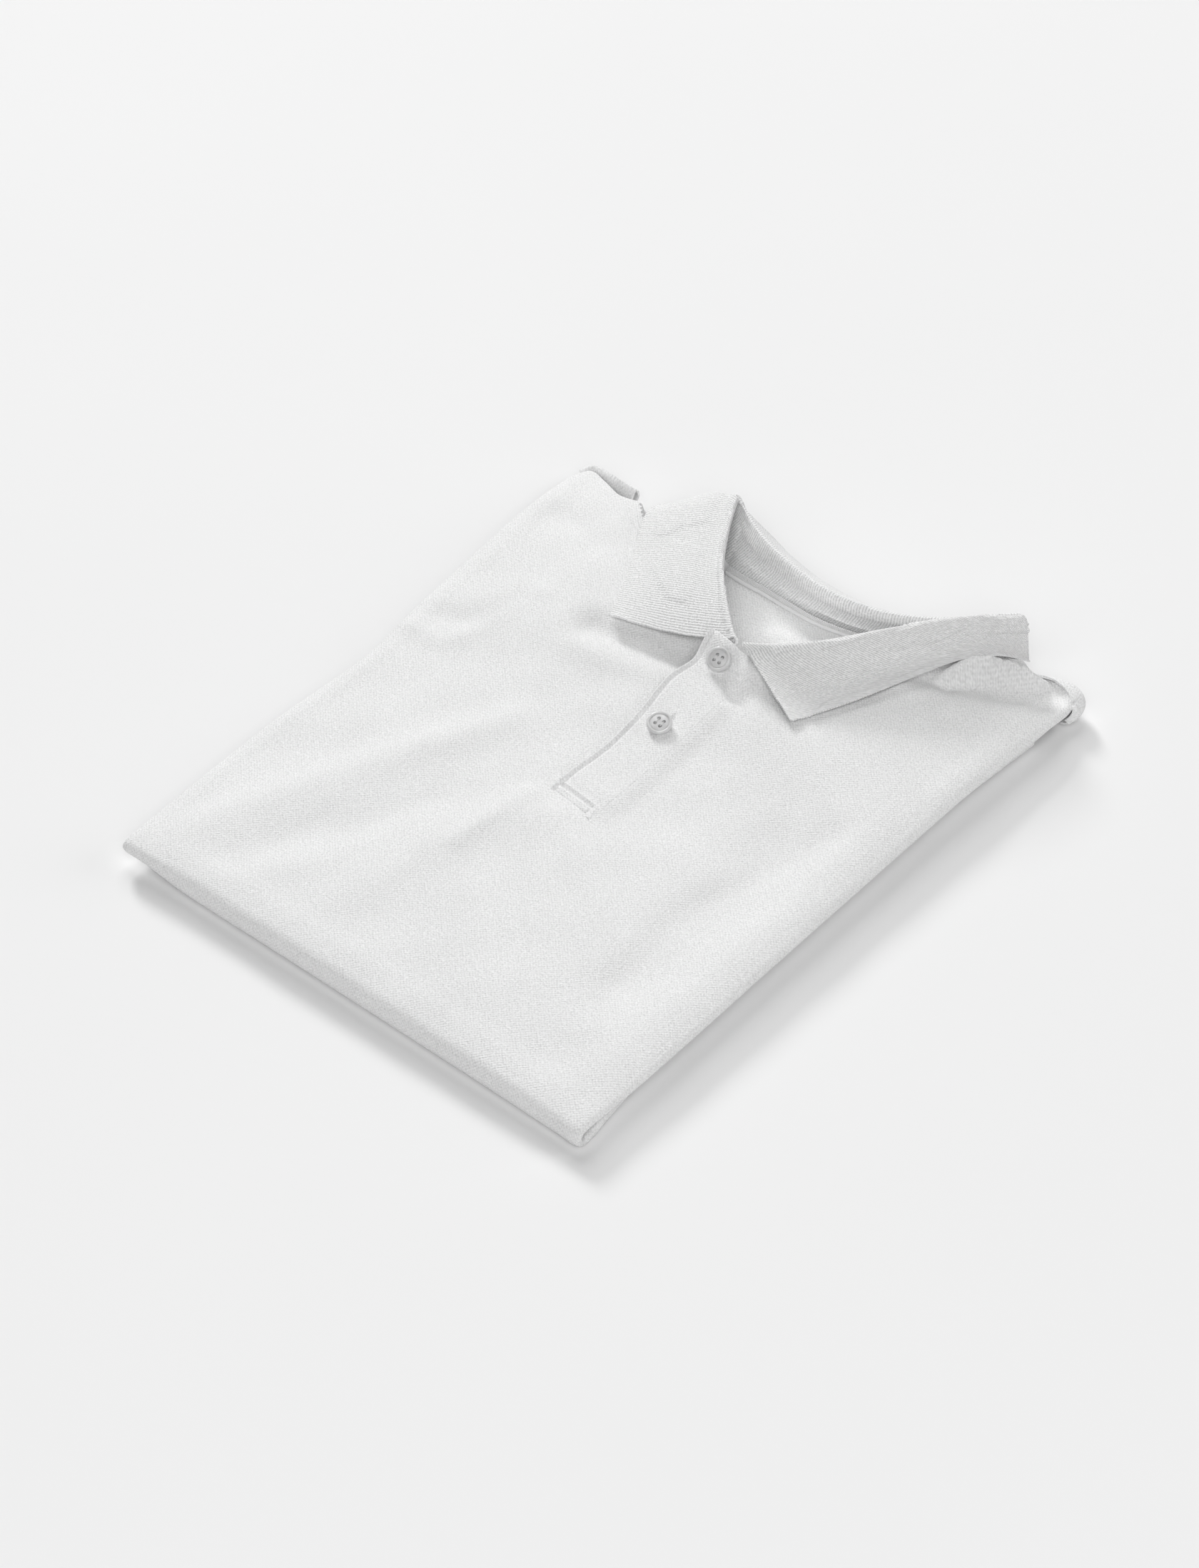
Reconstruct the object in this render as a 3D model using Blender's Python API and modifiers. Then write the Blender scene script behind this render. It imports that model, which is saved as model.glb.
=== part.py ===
"""A polo shirt, folded face up as a shop folds it, with one closed solid for each sewn piece.

The sides and sleeves are folded to the back and the lower half is folded under, so the
shirt is a band bent into a U: an upper leg with the chest and collar, a bottom fold, and a
lower leg that lies on the surface. +X is the wearer's left, +Y goes to the collar and +Z is
up. Sizes are in millimetres until the meshes are made.
"""
import math

import bmesh
import bpy
import numpy as np
from mathutils import Matrix, Vector

MM = 0.001
COLLECTION = "folded_polo_shirt"
FOOTPRINT_MIDDLE = (-6.3, 16.9)   # goes to the origin

# Walls and clearances
SEAM_GAP = 0.3
PIQUE = 1.2
RIB = 1.8
BAND = 1.3
TAPE = 0.8
TAPE_RISES = (0.6, 2.4, 4.2)   # above the foot of the stand

# The two legs and the bottom fold
FOLD_Y = -168.0
HEM_Y = 158.0
LEG_SPLIT = 7.0       # height between the two legs
LEG_PARTING = 0.5     # each leg stays this far from that height
LIP = 8.0             # cloth turned in past each side fold
FAN_Y = 20.0          # below this the cloth's columns run straight
DOME_POWER = 2.6
TIP_LIFT = 6.0        # the near left corner is this far off the surface
TIP_SPLIT = 2.4       # and the legs part this much higher there
ROLL_REACH = 5.0      # shoulder end rounds down over this length
END_SLANT = 0.8       # a side fold's shoulder end runs back by this much of its depth
NECK_REACH = 10.5     # the cloth rises to the neck seam over this length

# Side folds of the upper leg: y, outermost x, height of its top
LEFT_SIDE = ((-168, -135.5, 12.8), (-120, -137.6, 14.0), (-60, -138.2, 15.0), (0, -136.5, 15.5),
             (30, -140.5, 16.0), (84, -145.0, 17.0), (115, -147.5, 18.0), (145, -148.5, 17.0),
             (160, -148.6, 14.5), (172, -146.0, 12.0), (182, -142.0, 12.0))
RIGHT_SIDE = ((-168, 134.0, 11.0), (-120, 135.0, 13.0), (-40, 135.0, 14.0), (60, 135.2, 15.0),
              (100, 135.5, 15.5), (140, 137.0, 15.5), (172, 138.0, 13.0), (192, 136.5, 11.0))
# Side folds of the lower leg: y, outermost x
LEFT_UNDER = ((-168, -135.5), (-120, -131.0), (0, -130.0), (160, -134.0))
RIGHT_UNDER = ((-168, 134.0), (-125, 129.5), (0, 129.0), (100, 130.5), (160, 134.0))
# Height of the chest along the middle: y, z
MIDDLE = ((-168, 14.0), (-140, 17.0), (-100, 18.5), (-60, 19.0), (-24, 19.0), (0, 18.8), (20, 19.5),
          (40, 21.5), (60, 24.5), (80, 26.5), (100, 26.5), (130, 23.0), (160, 19.0), (190, 18.0))

# Soft folds of the chest: height, half width, route of x and y
FOLDS = (
    (-7.0, 7.0, ((66, 150), (80, 157), (95, 163), (110, 168), (122, 177), (130, 188))),
    (3.0, 8.0, ((72, 130), (90, 136), (106, 142), (120, 150), (131, 166))),
    (3.5, 5.5, ((93, 173), (101, 177), (110, 182), (120, 187))),
    (-5.5, 4.5, ((-94, 149), (-100, 155.5), (-105, 162), (-108, 170))),
    (2.2, 9.0, ((-118, -140), (-92, -90), (-70, -40), (-52, 0))),
    (-2.0, 9.0, ((-88, -140), (-62, -96), (-40, -52))),
    (1.6, 10.0, ((-30, -120), (-20, -80), (-10, -40))),
    (1.6, 9.0, ((118, -140), (120, -60), (122, 20), (118, 70))),
    (-1.6, 12.0, ((96, -110), (98, -40), (92, 30))),
)

# Shoulder columns of the front: x where straight, x and y of the shoulder end, height there
LEFT_SHOULDER = ((-131.5, -140.5, 168.0, 9.8), (-121, -129.5, 166.7, 9.4), (-110, -117.5, 164.2, 9.4),
                 (-100, -109, 166.0, 8.5), (-90, -99, 169.5, 7.0), (-80, -86, 171.5, 9.0))
RIGHT_SHOULDER = ((110, 110, 187.5, 13.5), (121, 121, 190.0, 13.0), (131.5, 132.8, 185.5, 11.8))

# The collar's rows round the neck: seam x y z, roll x y z, outer edge x y z, sag
COLLAR_LEFT = (
    (5, 95.5, 31, 3, 97, 35.3, -57.5, 79.5, 26.5, 3.0),
    (-6, 100, 29.5, -1, 98.5, 37.5, -60.5, 88, 26.5, 1.5),
    (-18, 106, 27, -11, 107.5, 39, -65.5, 97, 26.5, 0.0),
    (-27, 114, 24.5, -21, 117, 40, -70, 108, 26, -1.0),
    (-35, 123, 22.5, -28, 125, 40, -77, 121, 25, -1.5),
    (-41, 131, 21, -34, 132, 40, -85, 133, 24.5, -1.5),
    (-48, 143, 19.5, -41, 145, 40, -92, 145, 24, -1.5),
    (-55, 156, 18.5, -48, 157, 40, -96.5, 156.5, 24, -1.5),
    (-62, 168, 17.5, -55.5, 170, 39.4, -96, 167.5, 19.5, -3.5),
)
COLLAR_BACK = (
    (-60, 166, 15.5, -54, 174.5, 38.0, -78, 184, 11, -3.5),
    (-50, 154.5, 13.5, -41, 166.5, 35.6, -46, 186, 9.5, -3.0),
    (-38, 152, 13, -30, 160.5, 34.8, -32, 182, 9.5, -3.0),
    (-22, 152, 13, -18, 156, 34.8, -16, 178, 9.5, -3.0),
    (-6, 151.5, 13, -4, 153, 34.8, -2, 175, 9.5, -3.0),
    (10, 151.5, 13, 10, 151.5, 34.8, 12, 174, 9.5, -3.0),
    (24, 153.5, 13, 23, 151.5, 34.8, 27, 175, 9.5, -3.0),
    (38, 157.5, 13, 36, 153.5, 34.8, 42, 178, 9.5, -3.0),
    (54, 163.5, 13.5, 52, 159, 34.8, 60, 184, 10, -3.0),
    (69, 174, 15, 68, 171, 34, 75, 194, 11, -2.5),
    (81, 184.5, 17, 81, 184, 33.5, 89, 201, 11.5, -2.0),
    (88, 190.5, 18.5, 88.5, 191, 34, 103, 196.5, 11.5, -1.5),
)
COLLAR_RIGHT = (
    (93, 190, 19.5, 94, 190.5, 37, 106, 190.3, 16.2, -1.0),
    (92.5, 184.5, 20.5, 92, 186, 40.3, 101.5, 184, 20.5, 0.0),
    (86, 178, 21, 87, 178, 42.5, 92.3, 172.5, 23.5, 1.0),
    (80, 167, 22, 81, 166, 45, 86.5, 162.4, 24.5, 1.5),
    (74, 156, 23.5, 74.5, 156, 46.2, 81, 150, 25, 2.5),
    (69, 145.5, 24.5, 67.5, 147, 46.3, 77, 136, 26, 3.0),
    (64.5, 134, 26, 60.5, 137, 46.3, 73, 122, 26.5, 3.0),
    (59.5, 124, 27.5, 54, 127.5, 46, 69, 109, 27, 3.0),
    (53.5, 115, 29, 47, 118, 45.5, 64, 97, 27, 3.0),
    (45, 107.5, 31.5, 40, 109, 44.5, 58.5, 86.5, 27, 3.0),
    (33, 100.5, 33, 31, 101.5, 43, 56.5, 81.5, 27, 2.5),
    (22, 97, 32.9, 22, 95, 41, 55, 78.5, 27, 1.0),
    (11, 95.6, 36.0, 12.5, 92.3, 39.8, 53.5, 76, 27, -0.3),
)
ROLL_HALF = 1.7       # half the breadth of the collar's roll
COLLAR_STEPS = 2      # sections from one row to the next
COLLAR_POINTS = 12    # points across the collar

# Plackets and buttons
PLACKET_LEFT = -9.0
PLACKET_RIGHT = 20.5
PLACKET_FOOT = -24.0
PLACKET_TOP_LEFT = 94.3
PLACKET_TOP_RIGHT = 92.2
PLACKET_TOP_Z_LEFT = 38.0
PLACKET_TOP_Z_RIGHT = 34.4
PLACKET_GAP = 0.55    # to the front under it
SLOT_LEFT = -7.0
SLOT_RIGHT = 18.0
SLOT_FOOT = -18.0
UNDER_TOP_Y = 93.0
UNDER_TOP_Z = 28.5
LAP_DROP = 6.0        # the under front lies this much lower at the neck
BUTTON_RADIUS = 5.9
BUTTON_THICK = 2.6
BUTTON_HOLE = 0.7
BUTTON_HOLE_REACH = 1.25
BUTTON_LIFT = 0.7      # thread holds it clear of the curved cloth
BUTTONS = (("button_1", 6.0, 83.5), ("button_2", 7.2, 38.5))

# Back panel: x of each column, y and z of its far edge
BACK_NEAR_Y = 54.0
BACK_NEAR_Z = 15.5
BACK_FAR = ((-116, 164.0, 6.4), (-98, 166.5, 6.6), (-82, 167.5, 8.6), (-68, 163.0, 11.0),
            (-58, 157.0, 12.6), (-49, 150.6, 13.0), (-36, 150.5, 13.0), (-22, 150.5, 13.0),
            (-6, 150.0, 13.0), (9, 150.0, 13.0), (23, 151.7, 13.0), (37, 155.6, 13.0),
            (54, 161.5, 13.0), (71, 170.4, 12.0), (86, 180.0, 7.8), (96, 182.0, 7.2),
            (107, 183.0, 7.0), (118, 184.5, 6.8))
BACK_CLEAR = 1.6      # the back panel stays this far below the front
BACK_ROWS = 10

# Folded-back sleeve ends: armhole seam, crest, fold and lower layer, each x y z
SLEEVE_POINTS = 9
SLEEVE_LEFT = (
    (113, 188.5, 12.8, 114, 189.6, 11.6, 115, 190.4, 8.0, 113, 185, 5.0),
    (120.5, 190.5, 12.8, 122, 192.4, 11.6, 123, 193.8, 7.6, 119, 186, 4.6),
    (127.5, 189.4, 12.4, 130, 193.2, 10.8, 131, 194.6, 7.0, 124, 185, 4.4),
    (133.4, 187.0, 11.4, 136, 190.3, 9.4, 136, 191.0, 6.2, 127, 183, 4.2),
    (137.5, 185.0, 9.2, 138.4, 186.8, 7.6, 137.6, 187.4, 5.4, 129, 180, 4.0),
)
SLEEVE_RIGHT = (
    (-149.4, 165.0, 7.2, -150.0, 166.5, 9.6, -151.0, 168.5, 6.6, -143, 164.0, 2.4),
    (-147.0, 170.6, 7.6, -148.0, 172.6, 9.8, -148.8, 174.2, 6.4, -141, 167, 2.4),
    (-141.5, 168.3, 9.2, -142.3, 172.4, 10.2, -142.6, 174.2, 6.2, -137, 167, 2.4),
    (-136, 167.9, 9.1, -136, 172.0, 10.4, -136, 174.0, 6.2, -132, 167, 2.4),
    (-130, 168.8, 6.8, -130, 171.8, 10.5, -130, 173.6, 6.2, -128, 167, 2.4),
    (-124, 169.4, 5.8, -124, 171.5, 10.5, -124, 173.4, 6.2, -123.5, 167, 2.4),
    (-118.5, 169.2, 5.6, -118.3, 171.2, 10.5, -118.3, 172.9, 6.2, -118.5, 167, 2.4),
)

# Hidden layers: x, y where the upper and the lower layers end
HIDDEN_ENDS = ((-121, 161, 156), (-95, 164, 156), (-80, 163, 156), (-66, 157, 156), (-54, 147, 156),
               (-20, 147, 156), (12, 147, 156), (36, 152, 156), (56, 158, 156), (74, 167, 156),
               (92, 175, 156), (106, 178, 156), (120, 178, 156))
HIDDEN_CLEAR = 1.5    # to the walls round them
HIDDEN_BELOW_BACK = 1.9
HIDDEN_SPLIT = 0.6     # of the layers' height, where they are thin
HIDDEN_LEFT = -116.5
HIDDEN_RIGHT = 115.5
HIDDEN_STATIONS = 21

# Rows of the front: parts of the fanned length, y of the straight rows, parts of the lower leg
FAN_PARTS = (1.0, 0.988, 0.97, 0.945, 0.91, 0.87, 0.82, 0.76, 0.68, 0.59, 0.48, 0.36, 0.24, 0.12)
STRAIGHT_Y = (FAN_Y, 1, SLOT_FOOT, -38, -60, -84, -108, -128, -144)
BEND_TURNS = 7
UNDER_PARTS = (0.035, 0.08, 0.13, 0.2, 0.4, 0.6, 0.8, 1.0)
CURL_TURNS = (50, 95, 140, 180)   # degrees round a side fold

WHITE_PIQUE = ("white_pique_cotton", (0.80, 0.80, 0.80), 0.95)
WHITE_RIB = ("white_rib_knit", (0.80, 0.80, 0.80), 0.95)
WHITE_TWILL = ("white_tape", (0.82, 0.82, 0.82), 0.90)
PALE_PLASTIC = ("pale_button_plastic", (0.72, 0.72, 0.72), 0.35)


def spline(rows, at):
    """The later columns of a table at places along its first column, eased between rows."""
    table = np.array(rows, float)
    places, values = table[:, 0], table[:, 1:]
    slopes = np.gradient(values, places, axis=0)
    at = np.clip(np.asarray(at, float), places[0], places[-1])
    row = np.clip(np.searchsorted(places, at) - 1, 0, len(places) - 2)
    step = places[row + 1] - places[row]
    part = ((at - places[row]) / step)[..., None]
    step = step[..., None]
    return ((1 + 2 * part) * (1 - part) ** 2 * values[row]
            + part * (1 - part) ** 2 * step * slopes[row]
            + part * part * (3 - 2 * part) * values[row + 1]
            + part * part * (part - 1) * step * slopes[row + 1])


def ease(part):
    """A smooth step from 0 to 1."""
    part = np.clip(part, 0.0, 1.0)
    return part * part * (3 - 2 * part)


def through(points, count):
    """Evenly numbered points on a smooth curve through the given ones."""
    points = np.array(points, float)
    rows = np.column_stack([np.arange(len(points)), points])
    return spline(rows, np.linspace(0, len(points) - 1, count))


def distance_to_route(x, y, route):
    """Distance in plan from each place to a fold's route."""
    nearest = np.full(np.shape(x), 1e9)
    for (ax, ay), (bx, by) in zip(route[:-1], route[1:]):
        length = (bx - ax) ** 2 + (by - ay) ** 2
        part = np.clip(((x - ax) * (bx - ax) + (y - ay) * (by - ay)) / length, 0, 1)
        gap = np.hypot(x - ax - part * (bx - ax), y - ay - part * (by - ay))
        nearest = np.minimum(nearest, gap)
    return nearest


def top(x, y):
    """Height of the upper leg's outer face, with its soft folds."""
    x, y = np.broadcast_arrays(np.asarray(x, float), np.asarray(y, float))
    left = spline(LEFT_SIDE, y)
    right = spline(RIGHT_SIDE, y)
    middle = (left[..., 0] + right[..., 0]) / 2
    half = (right[..., 0] - left[..., 0]) / 2
    across = np.clip((x - middle) / half, -1, 1)
    side = np.where(across < 0, left[..., 1], right[..., 1])
    crown = spline(MIDDLE, y)[..., 0]
    inner = 1 - np.abs(across) ** DOME_POWER
    height = side + (crown - side) * inner
    for rise, half_width, route in FOLDS:
        near = np.exp(-(distance_to_route(x, y, route) / half_width) ** 2)
        height = height + rise * near * ease((1 - np.abs(across)) * 12 + 0.25)
    return height


def lap_drop(x, y):
    """How far the wearer's right front lies below the left one near the neck."""
    away = np.maximum(0, PLACKET_LEFT - np.asarray(x, float))
    return LAP_DROP * ease((np.asarray(y, float) - 30) / 50) * np.exp(-(away / 32) ** 2)


def tip(x, y):
    """Share of the near left corner's lift, from 0 to 1."""
    across = ease((-92 - np.asarray(x, float)) / 38)
    along = ease((-122 - np.asarray(y, float)) / 38)
    return across * along


def low(x, y):
    """Height of the underside: flat, but for the raised corner."""
    return TIP_LIFT * tip(x, y)


def leg_split(x, y):
    """Height between the two legs."""
    return LEG_SPLIT + TIP_SPLIT * tip(x, y)


def neckline(rows):
    """Where the front's edge meets the collar seam: just outside each seam point."""
    seam = np.array([row[:3] for row in rows], float)
    along = np.gradient(seam[:, :2], axis=0)
    along /= np.linalg.norm(along, axis=1)[:, None]
    out = np.column_stack([along[:, 1], -along[:, 0]])
    clear = RIB / 2 + SEAM_GAP + PIQUE / 2
    seam[:, :2] += out * clear
    return seam


def front_columns():
    """The front's columns from its left fold to its right one: straight x, end x y z, kind."""
    left_neck = neckline(COLLAR_LEFT[::-1])[:-2]
    right_neck = neckline(COLLAR_RIGHT[::-1])[1:]
    columns = [(*row, "shoulder") for row in LEFT_SHOULDER]
    straight = np.linspace(-70, SLOT_LEFT - 8, len(left_neck))
    columns += [(base, *end, "left neck") for base, end in zip(straight, left_neck)]
    columns.append((SLOT_LEFT, SLOT_LEFT, 98.6, 28.5, "left neck"))
    columns.append((SLOT_RIGHT, SLOT_RIGHT, 93.2, 31.4, "right neck"))
    straight = np.linspace(SLOT_RIGHT + 9, 101, len(right_neck))
    columns += [(base, *end, "right neck") for base, end in zip(straight, right_neck)]
    columns += [(*row, "shoulder") for row in RIGHT_SHOULDER]
    return columns


def upper_place(column, part, first, last):
    """Plan position on the upper leg: part is 0 where straight and 1 at the far end."""
    base, end_x, end_y = column[:3]
    y = FAN_Y + (end_y - FAN_Y) * part
    x = base + (end_x - base) * part ** 1.7
    share = 2 * (base - first[0]) / (last[0] - first[0]) - 1
    edge = first if share < 0 else last
    side = -1 if share < 0 else 1
    edge_x = edge[0] + (edge[1] - edge[0]) * part ** 1.7
    fold_x = spline(side_table(side), y)[..., 0] - side * fold_half(y, side)
    return x + (fold_x - edge_x) * abs(share) ** 4, y


def side_table(side):
    """The upper leg's side fold: -1 is the left one in the photo, 1 the right one."""
    return LEFT_SIDE if side < 0 else RIGHT_SIDE


def fold_half(y, side):
    """Half the upper leg's thickness at a side fold."""
    edge_x, edge_z = spline(side_table(side), y)
    return float((edge_z - leg_split(edge_x, y) - LEG_PARTING) / 2)


def upper_height(column, x, y):
    """Height on the front, with the rise to the neck seam or the round of the shoulder."""
    end_x, end_y, end_z, kind = column[1:]
    height = float(top(x, y))
    left_half = kind == "left neck" or x < PLACKET_LEFT
    if left_half:
        height -= float(lap_drop(x, y))
    edge = float(top(end_x, end_y)) - (float(lap_drop(end_x, end_y)) if left_half else 0)
    if kind == "shoulder":
        near = min(1.0, max(0.0, 1 - abs(y - end_y) / ROLL_REACH))
        share = 1 - math.sqrt(1 - near * near)
    else:
        share = math.exp(-(math.hypot(x - end_x, y - end_y) / NECK_REACH) ** 2)
    return height + (end_z - edge) * share


def curl(x, depth_half, side):
    """A side fold's offsets: x from the fold's start, and depth below the outer face."""
    points = []
    for turn in CURL_TURNS:
        angle = math.radians(turn)
        points.append((x + side * depth_half * math.sin(angle), depth_half * (1 - math.cos(angle))))
    points.append((x - side * LIP, 2 * depth_half))
    return points


def across_row(columns, place, side_halves, lift):
    """One row of the front: left lip, left fold, main panel, right fold, right lip.

    place gives a column's x and y; lift turns x, y, column and depth into a point.
    """
    first, last = columns[0], columns[-1]
    row = []
    x, y = place(first)
    for curl_x, depth in curl(x, side_halves[0], -1)[::-1]:
        row.append(lift(x, y, first, depth, curl_x))
    for column in columns:
        x, y = place(column)
        row.append(lift(x, y, column, 0.0, x))
    x, y = place(last)
    for curl_x, depth in curl(x, side_halves[1], 1):
        row.append(lift(x, y, last, depth, curl_x))
    return row


def upper_rows(columns):
    """Rows of the upper leg from the shoulders to the start of the bottom fold."""
    first, last = columns[0], columns[-1]

    rows = []
    for part in FAN_PARTS:
        def place(column, part=part):
            return upper_place(column, part, first, last)

        def lift(x, y, column, depth, curl_x, slant=END_SLANT * part ** 8):
            return (curl_x, y - slant * depth, upper_height(column, x, y) - depth)
        halves = (fold_half(place(first)[1], -1), fold_half(place(last)[1], 1))
        rows.append(across_row(columns, place, halves, lift))

    def straight_lift(x, y, column, depth, curl_x):
        return (curl_x, y, upper_height(column, x, y) - depth)

    for y in STRAIGHT_Y:
        def place(column, y=y):
            return straight_x(column, y, first, last, LEFT_SIDE, RIGHT_SIDE), y
        halves = (fold_half(y, -1), fold_half(y, 1))
        rows.append(across_row(columns, place, halves, straight_lift))
    return rows


def straight_x(column, y, first, last, left_table, right_table):
    """x of a column where the columns run straight, spread between the two side folds."""
    share = (column[0] - first[0]) / (last[0] - first[0])
    left = float(spline(left_table, y)[..., 0]) + fold_half(y, -1)
    right = float(spline(right_table, y)[..., 0]) - fold_half(y, 1)
    return left + (right - left) * share


def bend_rows(columns):
    """Rows round the bottom fold."""
    first, last = columns[0], columns[-1]
    rows = []
    for turn in np.linspace(0, math.pi, BEND_TURNS):
        def place(column):
            return straight_x(column, FOLD_Y, first, last, LEFT_SIDE, RIGHT_SIDE), FOLD_Y

        def lift(x, y, column, depth, curl_x, turn=turn):
            upper, lower = float(top(x, FOLD_Y + 8)), float(low(x, FOLD_Y))
            radius = (upper - lower) / 2
            reach = radius - depth
            return (curl_x, FOLD_Y + radius - reach * math.sin(turn),
                    lower + radius + reach * math.cos(turn))
        halves = (fold_half(FOLD_Y, -1), fold_half(FOLD_Y, 1))
        rows.append(across_row(columns, place, halves, lift))
    return rows


def under_rows(columns):
    """Rows of the lower leg from the bottom fold to the hem."""
    first, last = columns[0], columns[-1]
    rows = []

    def lift(x, y, column, depth, curl_x):
        return (curl_x, y, float(low(x, y)) + depth)

    for part in UNDER_PARTS:
        y = FOLD_Y + 7.5 + (HEM_Y - FOLD_Y - 7.5) * part

        def place(column, y=y):
            return straight_x(column, y, first, last, LEFT_UNDER, RIGHT_UNDER), y
        halves = []
        for edge in (first, last):
            edge_x = place(edge)[0]
            halves.append(float(leg_split(edge_x, y) - LEG_PARTING - low(edge_x, y)) / 2)
        rows.append(across_row(columns, place, halves, lift))
    return rows


def front():
    """The front: one sheet over the chest, round the bottom fold and along the underside."""
    columns = front_columns()
    rows = upper_rows(columns) + bend_rows(columns) + under_rows(columns)
    curls = len(CURL_TURNS) + 1
    slot_column = curls + [column[0] for column in columns].index(SLOT_LEFT)
    slot_rows = len(FAN_PARTS) + STRAIGHT_Y.index(SLOT_FOOT)

    def keep(row, column):
        return not (column == slot_column and row < slot_rows)
    return sheet("front", np.array(rows), PIQUE, WHITE_PIQUE, keep=keep)


def sheet(name, points, wall, material, side=-1, keep=None, up=True, even=True):
    """A wall behind a grid of outer points."""
    rows, columns = points.shape[:2]
    mesh = bpy.data.meshes.new(name)
    grid = bmesh.new()
    middle = np.array([*FOOTPRINT_MIDDLE, 0.0])
    verts = [[grid.verts.new((point - middle) * MM) for point in row] for row in points]
    for row in range(rows - 1):
        for column in range(columns - 1):
            if keep is None or keep(row, column):
                corners = [verts[row][column], verts[row + 1][column],
                           verts[row + 1][column + 1], verts[row][column + 1]]
                grid.faces.new(corners if up else corners[::-1])
    loose = [vert for vert in grid.verts if not vert.link_faces]
    bmesh.ops.delete(grid, geom=loose, context="VERTS")
    grid.to_mesh(mesh)
    grid.free()
    mesh.shade_smooth()
    part = bpy.data.objects.new(name, mesh)
    thicken = part.modifiers.new("Wall", "SOLIDIFY")
    thicken.thickness = wall * MM
    thicken.offset = side
    thicken.use_even_offset = even
    thicken.use_quality_normals = True
    thicken.thickness_clamp = 2.0
    thicken.use_thickness_angle_clamp = True
    return finish(part, material)


def finish(part, material):
    """Give an object its material and put it in the collection."""
    name, colour, roughness = material
    surface = bpy.data.materials.get(name) or bpy.data.materials.new(name)
    surface.use_nodes = True
    principled = surface.node_tree.nodes["Principled BSDF"]
    principled.inputs["Base Color"].default_value = (*colour, 1.0)
    principled.inputs["Roughness"].default_value = roughness
    principled.inputs["Metallic"].default_value = 0.0
    part.data.materials.append(surface)
    bpy.data.collections[COLLECTION].objects.link(part)
    return part


def collar_section(row):
    """Points of the collar's middle surface from the neck seam over the roll to the edge."""
    seam, roll, edge, sag = row[0:3], row[3:6], row[6:9], row[9]
    out = np.array([edge[0] - roll[0], edge[1] - roll[1], 0.0])
    out /= np.linalg.norm(out)
    down = np.array([0.0, 0.0, -1.0])
    inner = roll - out * ROLL_HALF + down * ROLL_HALF
    outer = roll + out * ROLL_HALF * 1.3 + down * ROLL_HALF
    middle = (outer + edge) / 2 + down * sag
    stand = (seam + inner) / 2
    return through([seam, stand, inner, roll, outer, middle, edge], COLLAR_POINTS)


def collar_rows():
    """The collar's table, eased to more sections by the distance along the roll."""
    table = np.array(COLLAR_LEFT + COLLAR_BACK + COLLAR_RIGHT, float)
    spans = np.linalg.norm(np.diff(table[:, 3:6], axis=0), axis=1) ** 0.5
    places = np.concatenate([[0.0], np.cumsum(spans)])
    steps = np.linspace(0, len(spans), len(spans) * COLLAR_STEPS + 1)
    between = np.interp(steps, np.arange(len(places)), places)
    return spline(np.column_stack([places, table]), between)


def collar():
    """The flat-knit collar: stand, roll and fall in one wall."""
    points = np.array([collar_section(row) for row in collar_rows()])
    return sheet("collar", points, RIB, WHITE_RIB, side=0, even=False)


def neck_tape():
    """The tape inside the back neck, on the foot of the stand."""
    first = (len(COLLAR_LEFT) + 1) * COLLAR_STEPS + 1
    last = (len(COLLAR_LEFT) + len(COLLAR_BACK) - 4) * COLLAR_STEPS
    sections = [collar_section(row) for row in collar_rows()[first:last + 1]]
    feet = np.array([section[0] for section in sections])
    along = np.gradient(feet, axis=0)
    points = []
    for section, way in zip(sections, along):
        inward = np.array([way[1], -way[0], 0.0]) / math.hypot(way[0], way[1])
        up = (section[1] - section[0]) / np.linalg.norm(section[1] - section[0])
        base = section[0] + inward * (RIB / 2 + 2 * SEAM_GAP)
        points.append([base + up * rise for rise in TAPE_RISES])
    return sheet("neck_tape", np.array(points), TAPE, WHITE_TWILL, side=1)


def placket_top(x):
    """y and height of the upper placket's top edge."""
    across = (x - PLACKET_LEFT) / (PLACKET_RIGHT - PLACKET_LEFT)
    y = PLACKET_TOP_LEFT + (PLACKET_TOP_RIGHT - PLACKET_TOP_LEFT) * across
    z = PLACKET_TOP_Z_LEFT + (PLACKET_TOP_Z_RIGHT - PLACKET_TOP_Z_LEFT) * across
    return y, z


def placket_surface(x, y):
    """Height of the upper placket's inner face, with its rise to the neck."""
    end_y, end_z = placket_top(x)
    rise = end_z - BAND - float(top(x, end_y)) - PLACKET_GAP
    return float(top(x, y)) + PLACKET_GAP + rise * math.exp(-((end_y - y) / NECK_REACH) ** 2)


def placket():
    """The upper placket, wearer's left over right, sewn on round the slot."""
    points = []
    for part in np.linspace(0, 1, 15):
        row = []
        for x in np.linspace(PLACKET_LEFT, PLACKET_RIGHT, 6):
            end_y = placket_top(x)[0]
            y = PLACKET_FOOT + (end_y - PLACKET_FOOT) * (1 - (1 - part) ** 1.4)
            row.append((x, y, placket_surface(x, y)))
        points.append(row)
    return sheet("placket", np.array(points), BAND, WHITE_PIQUE, side=1, up=False)


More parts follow.
